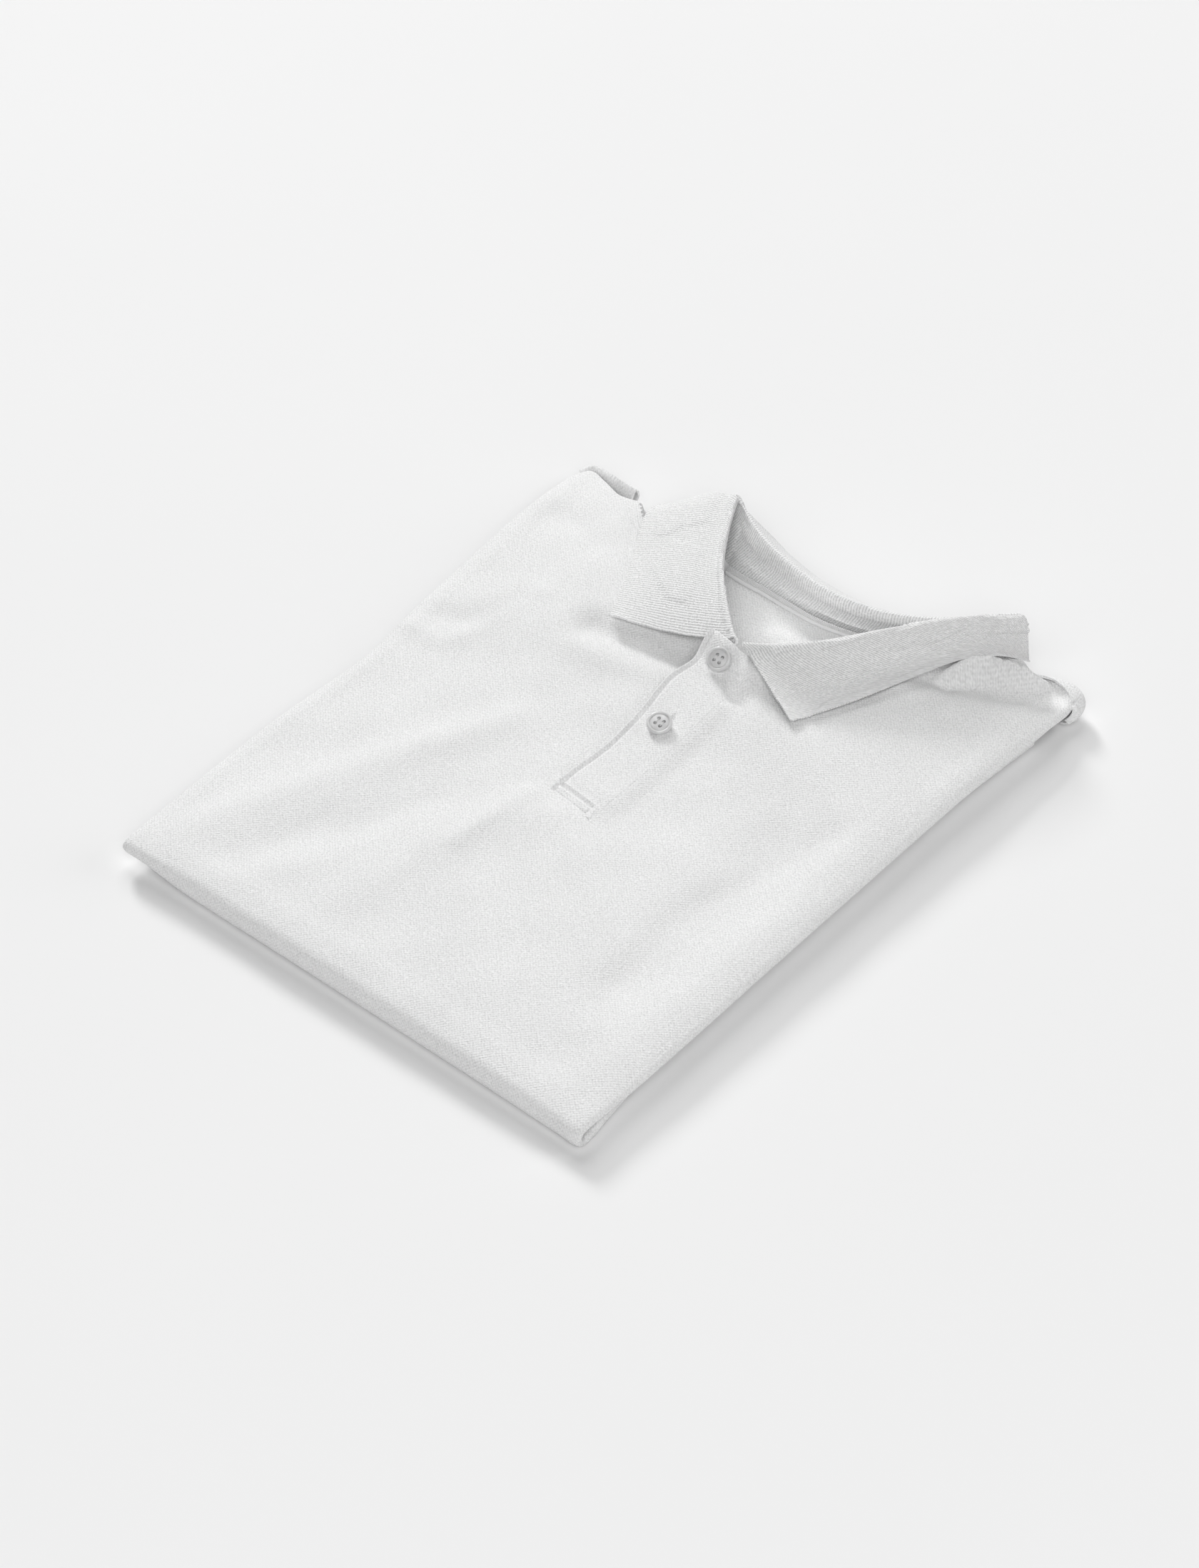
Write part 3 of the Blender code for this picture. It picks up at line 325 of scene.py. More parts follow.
# Where the front drops beside the collar's far corner: a line in plan, level, breadth of the drop
NOTCH = ((-114.5, 168.8), (-94.0, 150.0))
NOTCH_LEVEL = 7.6
NOTCH_BREADTH = 1.8
NOTCH_END = -84.0     # the drop ends at this x and fades in over this length
NOTCH_FADE = 6.0
# Slight waves of the cloth: height, turn for each mm of x and of y, start
UNEVEN = ((0.16, 0.110, 0.043, 0.4), (0.13, -0.052, 0.124, 1.9), (0.10, 0.171, -0.117, 3.1))

# Folds of the back panel inside the neck, in the same way
BACK_FOLDS = (
    (-0.9, 4.0, ((-2, 112), (6, 122), (20, 127))),
    (0.8, 4.5, ((-12, 122), (4, 133), (24, 137))),
    (-0.6, 5.0, ((26, 118), (40, 126), (52, 140))),
)

# Folds that press through the underside, always away from the surface it lies on
UNDER_FOLDS = (
    (0.8, 5.0, ((-60, -150), (-40, -40), (-66, 140))),
    (0.7, 6.0, ((70, -150), (52, -20), (78, 140))),
    (0.5, 9.0, ((-100, 40), (0, 20), (104, 52))),
)

# Tack box at the placket's foot: corners x and y, going round
TACK_BOX = ((-8.2, -16.8), (16.2, -20.0), (16.8, -25.4), (-8.0, -22.4))
BOX_HALF = 0.9
BOX_RISE = -0.75      # the sewing pulls the box's outline down
BOX_PUFF = (0.8, 1.7)   # beside it the cloth puffs up: half width and place of the puff
PUFF = 0.7            # and its share of the depth
FLUSH_REACH = 10.0    # the front rises to the placket's level over this length past its edge
FLUSH_EDGE = SLOT_RIGHT - 0.6   # from this x on, down to this y
FLUSH_FOOT = PLACKET_FOOT - 8
FLUSH_LEFT = 0.05     # and this much of the placket's height still shows
FOOT_REACH = 16.0     # the placket comes down to the front over this length at its foot
EDGE_STITCH = 2.6     # stitching runs this far inside an edge
EDGE_GROOVE = 0.22    # and pulls the cloth down this much
EDGE_GROOVE_HALF = 0.7
EDGE_BEAD = 0.65      # the folded edge stands this much higher
BEAD_RIDGE = (0.75, 0.5)   # half width and place of its ridge, and of the dip inside it
BEAD_DIP = (0.7, 2.1)
EDGE_TROUGH = 0.6     # the front dips this much beside the placket's free edge
EDGE_TROUGH_REACH = 3.5
TROUGH_START = PLACKET_FOOT + 4   # it deepens from here over the first length
TROUGH_END = 92.0                 # and ends here, fading over the second
TROUGH_FADES = (14.0, 12.0)
CORNER = 3.0          # rounding of the placket's top corner
# Buttonholes, of which the end past each button shows: from x y, to x y
BUTTONHOLES = (((5.0, 85.2), (17.2, 83.6)), ((7.6, 36.0), (8.6, 47.6)))
HOLE_DEPTH = 0.9
HOLE_HALF = 0.55
HOLE_BORDER = 1.0     # its stitches lie this far beside it
# The placket's free edge, slightly wavy: y, x
FREE_EDGE = ((-27, -7.6), (-5, -6.2), (11, -5.0), (29, -5.6), (43, -6.6), (57, -8.4), (65, -9.0),
             (73, -7.6), (79, -6.4), (86, -7.4), (98, -7.8))
FOLDED_RIM = 0.5      # rounding of folded edges
COLLAR_EASING = 220   # rounds of smoothing along the collar
CORNER_EASING = 8     # and of these at its corners too
CORNER_HOLD = 3       # rows either side of a corner that keep its turn
LEAF_EASING = 8       # rounds of smoothing down the collar's fall
THREAD = 0.17         # radius of the stitches' thread
STITCH = 2.3
STITCH_GAP = 0.7
STITCH_PARTS = (0.0, 0.08, 0.3, 0.7, 0.92, 1.0)   # places along a stitch, and its radius there
STITCH_SWELL = (0.15, 0.7, 1.0, 1.0, 0.7, 0.15)
STITCH_SIDES = 6
EDGE_POINTS = 160     # of the stitches' routes: along the free edge, each side of the box and
BOX_POINTS = 20       # beside each buttonhole
HOLE_POINTS = 24

# Camera: angles, distance, target, focal length and picture
CAMERA_AZIMUTH = 40.258
CAMERA_ELEVATION = 43.636
CAMERA_DISTANCE = 1900.0
CAMERA_TARGET = (2.119, 1.631, 10.0)
CAMERA_FOCAL = 5836.8   # in pixels of a picture 2197 high
PICTURE_HEIGHT = 2197
SENSOR = 36.0
NEAR_LIMIT = 0.05     # in metres
# The knit's cells, in metres
PIQUE_CELL = 0.0017
RIB_CELL = 0.0014
TAPE_CELL = 0.0016
WAVER = 0.0011        # the knit's rows waver by this much
# Greys, from 0 to 1
COTTON = 0.94
# The pit greys are painted shade: the knits and the tape darken to them where their relief is low
COTTON_PAINTED_PIT_SHADE = 0.72
RIB_PAINTED_PIT_SHADE = 0.68
TAPE_PAINTED_PIT_SHADE = 0.66
THREAD_GREYS = (0.72, 0.86)
BUTTON_GREYS = (0.66, 0.75)
FLOOR_GREYS = (0.86, 0.88)
GRAIN_SCALE = 1050.0   # of the knit's uneven grain, for a metre
FLOOR_HALF = 3.0
FLOOR_Z = -0.0002
# Lamps: azimuth, elevation, distance, size, power
LAMPS = (
    ("key", 149.0, 26.5, 8.0, 1.8, 374.0),
    ("front", -45.0, 50.0, 5.0, 3.2, 99.0),
    ("low", -45.0, 20.0, 5.0, 3.2, 26.0),
    ("back", 135.0, 46.0, 5.0, 3.2, 94.0),
    ("right", 45.0, 20.0, 5.0, 3.2, 62.0),
    ("left", -90.0, 42.0, 5.0, 3.2, 38.0),
)
SURROUND = 0.01
# A small fill in the neck, for the light that thin white cloth lets through: place, aim, size
# and power
NECK_FILL = ((10.0, 119.0, 43.5), (10.0, 165.0, 31.0), (44.0, 9.0), 0.003)


def spline(rows, at):
    """The later columns of a table at places along its first column, eased between rows."""
    table = np.array(rows, float)
    places, values = table[:, 0], table[:, 1:]
    slopes = np.gradient(values, places, axis=0)
    at = np.clip(np.asarray(at, float), places[0], places[-1])
    row = np.clip(np.searchsorted(places, at) - 1, 0, len(places) - 2)
    step = places[row + 1] - places[row]
    part = ((at - places[row]) / step)[..., None]
    step = step[..., None]
    return ((1 + 2 * part) * (1 - part) ** 2 * values[row]
            + part * (1 - part) ** 2 * step * slopes[row]
            + part * part * (3 - 2 * part) * values[row + 1]
            + part * part * (part - 1) * step * slopes[row + 1])


def ease(part):
    """A smooth step from 0 to 1."""
    part = np.clip(part, 0.0, 1.0)
    return part * part * (3 - 2 * part)


def bell(away, reach, crest=0.0):
    """1 at the crest, falling off smoothly over a reach."""
    return np.exp(-((away - crest) / reach) ** 2)


def unit(ways):
    """Ways of length 1."""
    return ways / np.linalg.norm(ways, axis=-1, keepdims=True)


def run_along(points, power=1.0):
    """The run to each point of a line, of steps taken to a power."""
    steps = np.linalg.norm(np.diff(points, axis=0), axis=1) ** power
    return np.concatenate([[0.0], np.cumsum(steps)])


def through(points, count):
    """Evenly numbered points on a smooth curve through the given ones."""
    points = np.array(points, float)
    rows = np.column_stack([np.arange(len(points)), points])
    return spline(rows, np.linspace(0, len(points) - 1, count))


def evenly(points, count):
    """Points on a smooth curve through the given ones, closer together where it turns."""
    points = np.array(points, float)
    places = run_along(points, 0.5)
    return spline(np.column_stack([places, points]), np.linspace(0, places[-1], count))


def distance_to_route(x, y, route):
    """Distance in plan from each place to a fold's route."""
    nearest = np.full(np.shape(x), np.inf)
    if len(route) > 2:
        route = through(route, ROUTE_POINTS)
    for (ax, ay), (bx, by) in zip(route[:-1], route[1:]):
        length = (bx - ax) ** 2 + (by - ay) ** 2
        part = np.clip(((x - ax) * (bx - ax) + (y - ay) * (by - ay)) / length, 0, 1)
        gap = np.hypot(x - ax - part * (bx - ax), y - ay - part * (by - ay))
        nearest = np.minimum(nearest, gap)
    return nearest


def top(x, y):
    """Height of the upper leg's outer face, with its soft folds."""
    x, y = np.broadcast_arrays(np.asarray(x, float), np.asarray(y, float))
    left = spline(LEFT_SIDE, y)
    right = spline(RIGHT_SIDE, y)
    middle = (left[..., 0] + right[..., 0]) / 2
    half = (right[..., 0] - left[..., 0]) / 2
    across = np.clip((x - middle) / half, -1, 1)
    side = np.where(across < 0, left[..., 1], right[..., 1])
    crown = spline(MIDDLE, y)[..., 0]
    inner = 1 - np.abs(across) ** DOME_POWER
    height = side + (crown - side) * inner
    for rise, half_width, route in FOLDS:
        near = bell(distance_to_route(x, y, route), half_width)
        height = height + rise * near * ease((1 - np.abs(across)) * FOLD_START + FOLD_AT_EDGE)
    return height


def lap_drop(x, y):
    """How far the wearer's right front lies below the left one near the neck."""
    away = np.maximum(0, PLACKET_LEFT - np.asarray(x, float))
    return LAP_DROP * ease((np.asarray(y, float) - LAP_FROM) / LAP_OVER) * bell(away, LAP_REACH)


def tip(x, y):
    """Share of the near left corner's lift, from 0 to 1."""
    across = ease((TIP_FROM[0] - np.asarray(x, float)) / TIP_OVER)
    along = ease((TIP_FROM[1] - np.asarray(y, float)) / TIP_OVER)
    return across * along


def low(x, y):
    """Height of the underside: flat, but for the raised corner."""
    return TIP_LIFT * tip(x, y)


def leg_split(x, y):
    """Height between the two legs."""
    return LEG_SPLIT + TIP_SPLIT * tip(x, y)


def neckline(rows):
    """Where the front's edge meets the collar seam: just outside each seam point."""
    seam = np.array([row[:3] for row in rows], float)
    along = unit(np.gradient(seam[:, :2], axis=0))
    out = np.column_stack([along[:, 1], -along[:, 0]])
    seam[:, :2] += out * (RIB / 2 + SEAM_GAP + PIQUE / 2)
    return seam


def front_columns():
    """The front's columns from its left fold to its right one: straight x, end x y z, and which
    end it is: -1 for the neck's left side, 1 for its right side and 0 for a shoulder."""
    left = neckline(COLLAR_LEFT[::-1])[:-2]
    right = neckline(COLLAR_RIGHT[::-1])[1:]
    parts = ((LEFT_SHOULDER, 0),
             (np.column_stack([np.linspace(*LEFT_NECK, len(left)), left]), -1),
             (((SLOT_LEFT, SLOT_LEFT, *SLOT_LEFT_TOP),), -1),
             (((SLOT_RIGHT, SLOT_RIGHT, *SLOT_RIGHT_TOP),), 1),
             (np.column_stack([np.linspace(*RIGHT_NECK, len(right)), right]), 1),
             (RIGHT_SHOULDER, 0))
    return np.concatenate([np.pad(np.array(rows, float), ((0, 0), (0, 1)), constant_values=end)
                           for rows, end in parts])


def side_fold(y, side):
    """Outermost x and half the thickness of the upper leg's side fold: -1 is the left one."""
    left = np.less(side, 0)[..., None]
    edge_x, edge_z = np.moveaxis(np.where(left, spline(LEFT_SIDE, y), spline(RIGHT_SIDE, y)), -1, 0)
    return edge_x, (edge_z - leg_split(edge_x, y) - LEG_PARTING) / 2


def fanned(columns, part):
    """Plan places of the columns on the upper leg: part is 0 where straight, 1 at the far end."""
    base, end_x, end_y = columns[:, :3].T
    y = FAN_Y + (end_y - FAN_Y) * part
    x = base + (end_x - base) * part ** FAN_BEND
    share = 2 * (base - base[0]) / (base[-1] - base[0]) - 1
    side = np.where(share < 0, -1, 1)
    edge_x, half = side_fold(y, side)
    moved = edge_x - side * half - np.where(share < 0, x[0], x[-1])
    return x + moved * np.abs(share) ** SIDE_PULL, y


def straight_x(columns, y, left_table, right_table):
    """x of the columns where they run straight, spread between the two side folds."""
    share = (columns[:, 0] - columns[0, 0]) / (columns[-1, 0] - columns[0, 0])
    left = spline(left_table, y)[..., 0] + side_fold(y, -1)[1]
    right = spline(right_table, y)[..., 0] - side_fold(y, 1)[1]
    return left + (right - left) * share


def upper_height(columns, x, y):
    """Height of the columns, with the rise to the neck seam or the round of the shoulder."""
    end_x, end_y, end_z, end = columns[:, 1:].T
    left_half = (end < 0) | (x < PLACKET_LEFT)
    height = top(x, y) - left_half * lap_drop(x, y)
    edge = top(end_x, end_y) - left_half * lap_drop(end_x, end_y)
    near = np.clip(1 - np.abs(y - end_y) / ROLL_REACH, 0, 1)
    rise = bell(np.hypot(x - end_x, y - end_y), NECK_REACH)
    return height + (end_z - edge) * np.where(end == 0, 1 - np.sqrt(1 - near * near), rise)


def front_row(x, y, height, halves, slant=0.0):
    """A row of the front with a curl and a lip at each end: x, y and z of its points.

    halves are half the depths of the two side folds, and slant is how far they run back.
    """
    turns = np.radians(CURL_TURNS)
    ends = [(np.append(edge + side * half * np.sin(turns), edge - side * LIP),
             np.append(half * (1 - np.cos(turns)), 2 * half))
            for edge, half, side in ((x[0], halves[0], -1), (x[-1], halves[1], 1))]
    (left, left_depth), (right, right_depth) = ends
    depth = np.concatenate([left_depth[::-1], np.zeros(len(x)), right_depth])
    y, height = (np.pad(np.broadcast_to(value, len(x)), CURLS, "edge") for value in (y, height))
    return np.column_stack([np.concatenate([left[::-1], x, right]), y - slant * depth,
                            height - depth])


def upper_rows(columns):
    """Rows of the upper leg from the shoulders to the start of the bottom fold."""
    rows = []
    for part in FAN_PARTS:
        x, y = fanned(columns, part)
        halves = side_fold(y[[0, -1]], np.array([-1, 1]))[1]
        slant = END_SLANT * part ** SLANT_POWER
        rows.append(front_row(x, y, upper_height(columns, x, y), halves, slant))
    for y in STRAIGHT_Y:
        x = straight_x(columns, y, LEFT_SIDE, RIGHT_SIDE)
        halves = side_fold(y, -1)[1], side_fold(y, 1)[1]
        rows.append(front_row(x, y, upper_height(columns, x, y), halves))
    return rows


def bend_rows(columns):
    """Rows round the bottom fold."""
    x = straight_x(columns, FOLD_Y, LEFT_SIDE, RIGHT_SIDE)
    halves = side_fold(FOLD_Y, -1)[1], side_fold(FOLD_Y, 1)[1]
    flat = front_row(x, FOLD_Y, 0.0, halves)
    lower, radius = bottom_fold(np.pad(x, CURLS, "edge"))
    reach = radius + flat[:, 2]
    return [np.column_stack([flat[:, 0], FOLD_Y + radius - reach * math.sin(turn),
                             lower + radius + reach * math.cos(turn)])
            for turn in np.linspace(0, math.pi, BEND_TURNS)]


def bottom_fold(x):
    """Height of the underside at the bottom fold, and the fold's radius."""
    upper, lower = top(x, FOLD_Y + FOLD_INSET), low(x, FOLD_Y)
    return lower, (upper - lower) / 2


def under_rows(columns):
    """Rows of the lower leg from the bottom fold to the hem."""
    rows = []
    for y in UNDER_Y + (HEM_Y - UNDER_Y) * np.array(UNDER_PARTS):
        x = straight_x(columns, y, LEFT_UNDER, RIGHT_UNDER)
        edges = x[[0, -1]]
        halves = (leg_split(edges, y) - LEG_PARTING - low(edges, y)) / 2
        rows.append(front_row(x, y, -low(x, y), halves) * (1, 1, -1))
    return rows


def collar_section(row):
    """Points of the collar's middle surface from the neck seam over the roll to the edge."""
    seam, roll, edge, sag = row[0:3], row[3:6], row[6:9], row[9]
    out = unit(np.array([edge[0] - roll[0], edge[1] - roll[1], 0.0]))
    down = np.array([0.0, 0.0, -1.0])
    inner = roll - out * ROLL_HALF + down * ROLL_HALF
    outer = roll + out * ROLL_HALF * ROLL_OUTER + down * ROLL_HALF
    middle = (outer + edge) / 2 + down * sag
    stand = (seam + inner) / 2
    return evenly([seam, stand, inner, roll, outer, middle, edge], COLLAR_POINTS)


def collar_rows():
    """The collar's table, eased to more sections by the distance along the roll."""
    table = np.array(COLLAR_LEFT + COLLAR_BACK + COLLAR_RIGHT, float)
    places = run_along(table[:, 3:6], 0.5)
    last = len(places) - 1
    steps = np.linspace(0, last, last * COLLAR_STEPS + 1)
    return spline(np.column_stack([places, table]), np.interp(steps, np.arange(last + 1), places))


def placket_top(x):
    """y and height of the upper placket's top edge."""
    across = (x - PLACKET_LEFT) / (PLACKET_RIGHT - PLACKET_LEFT)
    y = PLACKET_TOP_LEFT + (PLACKET_TOP_RIGHT - PLACKET_TOP_LEFT) * across
    z = PLACKET_TOP_Z_LEFT + (PLACKET_TOP_Z_RIGHT - PLACKET_TOP_Z_LEFT) * across
    return y, z


def placket_surface(x, y):
    """Height of the upper placket's inner face, with its rise to the neck."""
    end_y, end_z = placket_top(x)
    rise = end_z - BAND - top(x, end_y) - PLACKET_GAP
    return top(x, y) + PLACKET_GAP + rise * bell(end_y - y, NECK_REACH)


def back_height(x, y):
    """Height of the back panel's inner face."""
    far_y, far_z = spline(BACK_FAR, x)
    part = (y - BACK_NEAR_Y) / (far_y - BACK_NEAR_Y)
    limit = float(top(x, y)) - PIQUE - BACK_CLEAR
    return min(BACK_NEAR_Z + (far_z - BACK_NEAR_Z) * float(ease(part)), limit)


def hidden_profile(x, upper_end, lower_end):
    """Outline in Y and Z of the hidden layers at one x."""
    inside = PIQUE + HIDDEN_CLEAR
    lower, radius = bottom_fold(x)
    reach = radius - inside
    nose = [(FOLD_Y + radius - reach * math.cos(turn), lower + radius + reach * math.sin(turn))
            for turn in np.linspace(-math.pi / 2, math.pi / 2, NOSE_TURNS)]
    crest = [(y, float(top(x, y)) - inside) for y in UNDER_CHEST_Y]
    for y in UNDER_PLACKET_Y:
        crest.append((y, float(top(x, y) - lap_drop(PLACKET_LEFT, y)) - inside - BAND - SEAM_GAP))
    for part in UNDER_BACK_PARTS:
        y = BACK_NEAR_Y + (upper_end - BACK_NEAR_Y) * part
        crest.append((y, back_height(x, y) - PIQUE - HIDDEN_BELOW_BACK))
    head = crest[-1][1]
    split = min(LEG_SPLIT, inside + HIDDEN_SPLIT * (head - inside))
    step, drop = (head - split) / 2, split - inside
    ends = [(upper_end - back, split + part * step) for back, part in UPPER_ENDS]
    ends.append((min(upper_end, lower_end) - DEEPEST_END[0], split - DEEPEST_END[1] * drop))
    ends += [(lower_end - back, split - part * drop) for back, part in LOWER_ENDS]
    base = [(y, float(low(x, y)) + inside) for y in HIDDEN_BASE_Y]
    return nose + crest + ends + base


def finer_rows(points, spacing):
    """More rows between the given ones, and the number of each given row among them."""
    gaps = np.linalg.norm(np.diff(points[..., :3], axis=0), axis=2).mean(axis=1)
    places = np.concatenate([[0.0], np.cumsum(gaps)])
    fine, marks = [0.0], [0]
    for start, gap, step in zip(places, gaps, np.broadcast_to(spacing, len(gaps))):
        count = max(1, math.ceil(gap / step))
        fine += list(start + gap * np.arange(1, count + 1) / count)
        marks.append(len(fine) - 1)
    table = np.column_stack([places, points.reshape(len(points), -1)])
    made = spline(table, fine)
    return made.reshape(len(fine), *points.shape[1:]), marks


def finer(points, row_spacing, column_spacing):
    """The same surface with more rows and columns."""
    points, row_marks = finer_rows(points, row_spacing)
    turned, column_marks = finer_rows(points.swapaxes(0, 1), column_spacing)
    return turned.swapaxes(0, 1), row_marks, column_marks


def run_of(points):
    """Length along each row and down each column of a surface, as the cloth's own lengths."""
    across = np.linalg.norm(np.diff(points[..., :3], axis=1), axis=2)
    down = np.linalg.norm(np.diff(points[..., :3], axis=0), axis=2)
    along = np.pad(np.cumsum(across, axis=1), ((0, 0), (1, 0)))
    depth = np.pad(np.cumsum(down, axis=0), ((1, 0), (0, 0)))
    along = along - along[:, along.shape[1] // 2][:, None]
    return along, depth


def with_lengths(points):
    """Points with the cloth's own two lengths after x, y and z."""
    along, depth = run_of(points)
    return np.dstack([points[..., :3], along, depth])


def fold_heights(x, y, folds):
    """Sum of soft folds at places in plan."""
    height = np.zeros(np.shape(x))
    for rise, half_width, route in folds:
        height = height + rise * bell(distance_to_route(x, y, route), half_width)
    return height


def unevenness(x, y):
    """The cloth's slight waves."""
    height = np.zeros(np.shape(x))
    for rise, over_x, over_y, start in UNEVEN:
        height = height + rise * np.sin(over_x * x + over_y * y + start)
    return height


def placed(points):
    """Points of the design, in metres from the origin of the shared frame."""
    return (np.asarray(points, float) - np.array([*FOOTPRINT_MIDDLE, 0.0])) * MM


def put(name, data):
    """A new object in the scene."""
    thing = bpy.data.objects.new(name, data)
    bpy.context.scene.collection.objects.link(thing)
    return thing


def add(name, mesh, material, node=None):
    """Put a piece in the scene, riding with the shirt, in place of a node's solid."""
    mesh.materials.append(material)
    piece = put(name, mesh)
    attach(piece, "root")
    if node:
        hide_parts(node)
    return piece


def mesh_of(name, verts, faces, lengths):
    """A smooth mesh whose corners carry the cloth's own lengths, in metres."""
    mesh = bpy.data.meshes.new(name)
    mesh.from_pydata(verts.tolist(), [], faces.tolist())
    layer = mesh.uv_layers.new(name="Cloth")
    corners = np.zeros(len(mesh.loops), np.int32)
    mesh.loops.foreach_get("vertex_index", corners)
    layer.data.foreach_set("uv", (lengths[corners] * MM).astype(np.float32).ravel())
    mesh.shade_smooth()
    return mesh


def cloth(node, points, wall, material, side=-1, keep=None, up=True,
          even=True, rim=RIM):
    """A wall behind a grid of points, each with x, y, z and the cloth's own two lengths."""
    name = node + "_cloth"
    rows, columns = points.shape[:2]
    number = np.arange(rows * columns).reshape(rows, columns)
    faces = np.stack([number[:-1, :-1], number[1:, :-1], number[1:, 1:], number[:-1, 1:]], axis=-1)
    faces = faces[keep] if keep is not None else faces.reshape(-1, 4)
    if not up:
        faces = faces[:, ::-1]
    used, corners = np.unique(faces, return_inverse=True)
    flat = points.reshape(-1, points.shape[2])[used]
    mesh = mesh_of(name, placed(flat[:, :3]), corners.reshape(-1, 4), flat[:, 3:5])
    piece = add(name, mesh, material, node)
    thicken = piece.modifiers.new("Wall", "SOLIDIFY")
    thicken.thickness = wall * MM
    thicken.offset = side
    thicken.use_even_offset = even
    thicken.use_quality_normals = True
    thicken.thickness_clamp = WALL_CLAMP
    thicken.use_thickness_angle_clamp = True
    soften = piece.modifiers.new("Soft edge", "BEVEL")
    soften.width = rim * MM
    soften.segments = RIM_SEGMENTS
    soften.limit_method = "ANGLE"
    soften.angle_limit = SHARP
    return piece


def closed_rings(name, rings, lengths, material, node=None):
    """A closed piece through rings of points, with its two ends filled."""
    count, sides = rings.shape[:2]
    number = np.arange(count * sides).reshape(count, sides)
    after = np.roll(number, -1, axis=1)
    faces = np.stack([number[:-1], after[:-1], after[1:], number[1:]], axis=-1).reshape(-1, 4)
    mesh = mesh_of(name, placed(rings.reshape(-1, 3)), faces, lengths.reshape(-1, 2))
    closed = bmesh.new()
    closed.from_mesh(mesh)
    bmesh.ops.holes_fill(closed, edges=closed.edges, sides=sides)
    bmesh.ops.recalc_face_normals(closed, faces=closed.faces)
    closed.to_mesh(mesh)
    closed.free()
    return add(name, mesh, material, node)


def facing_of(columns):
    """How far each of a row's points faces up: 1 on the panel, 0 under a side fold."""
    side = [(1 + math.cos(math.radians(turn))) / 2 for turn in CURL_TURNS] + [0.0]
    return np.array(side[::-1] + [1.0] * len(columns) + side)


def front_lengths(upper, bend, under):
    """The cloth's own lengths on the front: plan places on the chest, then round its folds."""
    rows = np.concatenate([upper, bend, under])
    across = rows[..., 0].copy()
    down = rows[..., 1].copy()
    for side, near in ((slice(CURLS - 1, None, -1), CURLS), (slice(-CURLS, None), -CURLS - 1)):
        edge = rows[:, near][:, None]
        run = np.concatenate([edge, rows[:, side]], axis=1)
        gone = np.cumsum(np.linalg.norm(np.diff(run, axis=1), axis=2), axis=1)
        way = -1 if near == CURLS else 1
        across[:, side] = rows[:, near, 0][:, None] + way * gone
        down[:, side] = down[:, near][:, None]
    for row in range(len(upper), len(rows)):
        gone = np.linalg.norm(rows[row] - rows[row - 1], axis=1)
        gone[:CURLS], gone[-CURLS:] = gone[CURLS], gone[-CURLS - 1]
        down[row] = down[row - 1] - gone
    return np.dstack([rows, across, down])


def chest_relief(x, y):
    """The chest's smaller folds and waves."""
    return fold_heights(x, y, CHEST_FOLDS) + unevenness(x, y)


def through_lines(points):
    """Height added to bring the front through the near shoulder's lines."""
    face = points[points[..., 5] > 0.9][:, :3]
    lines = np.concatenate([through(line, SHOULDER_DENSITY * len(line)) for line in SHOULDER_LINES])
    places = np.concatenate([lines[:, :2], np.array(SHOULDER_KEPT, float)])
    short = np.zeros(len(places))
    for row, (x, y, z) in enumerate(lines):
        short[row] = z - near_height(face, (x, y))
    apart = np.linalg.norm(places[:, None] - places[None], axis=2)
    pull = bell(apart, SHOULDER_REACH) + SHOULDER_SLACK * np.eye(len(places))
    weights = np.linalg.solve(pull, short)
    added = np.zeros(points.shape[:2])
    for (x, y), weight in zip(places, weights):
        added += weight * bell(np.hypot(points[..., 0] - x, points[..., 1] - y), SHOULDER_REACH)
    return added


def near_height(face, place):
    """The front's height at a place, from the points nearest to it."""
    away = np.hypot(face[:, 0] - place[0], face[:, 1] - place[1])
    nearest = np.argsort(away)[:NEAREST]
    share = 1 / (away[nearest] + NEAREST_SOFT)
    return float(np.sum(face[nearest, 2] * share) / np.sum(share))


def into_notch(points):
    """How far each point of the front drops beside the collar's far corner."""
    (ax, ay), (bx, by) = NOTCH
    length = math.hypot(bx - ax, by - ay)
    past = ((points[..., 0] - ax) * (ay - by) + (points[..., 1] - ay) * (bx - ax)) / length
    share = ease(past / NOTCH_BREADTH) * ease((NOTCH_END - points[..., 0]) / NOTCH_FADE)
    return np.maximum(points[..., 2] - NOTCH_LEVEL, 0) * share


def placket_left(y):
    """x of the placket's free edge."""
    return spline(FREE_EDGE, y)[..., 0]


def placket_face(x, y):
    """Height of the placket's outer face, which comes down to the front at its foot."""
    chest = top(x, y) + chest_relief(x, y)
    own = placket_surface(x, y) + BAND + chest_relief(x, y)
    share = ease((y - foot_y(x)) / FOOT_REACH)
    away = box_line(x, y)
    sewn = BOX_RISE * (bell(away, BOX_HALF) - PUFF * bell(away, *BOX_PUFF))
    for hole in BUTTONHOLES:
        sewn = sewn - HOLE_DEPTH * bell(distance_to_route(x, y, hole), HOLE_HALF)
    inside = x - placket_left(y)
    groove = EDGE_GROOVE * bell(inside, EDGE_GROOVE_HALF, EDGE_STITCH)
    bead = EDGE_BEAD * (bell(inside, *BEAD_RIDGE) - PUFF * bell(inside, *BEAD_DIP))
    return chest + FLUSH_LEFT + (own - chest - FLUSH_LEFT) * share + sewn + bead - groove


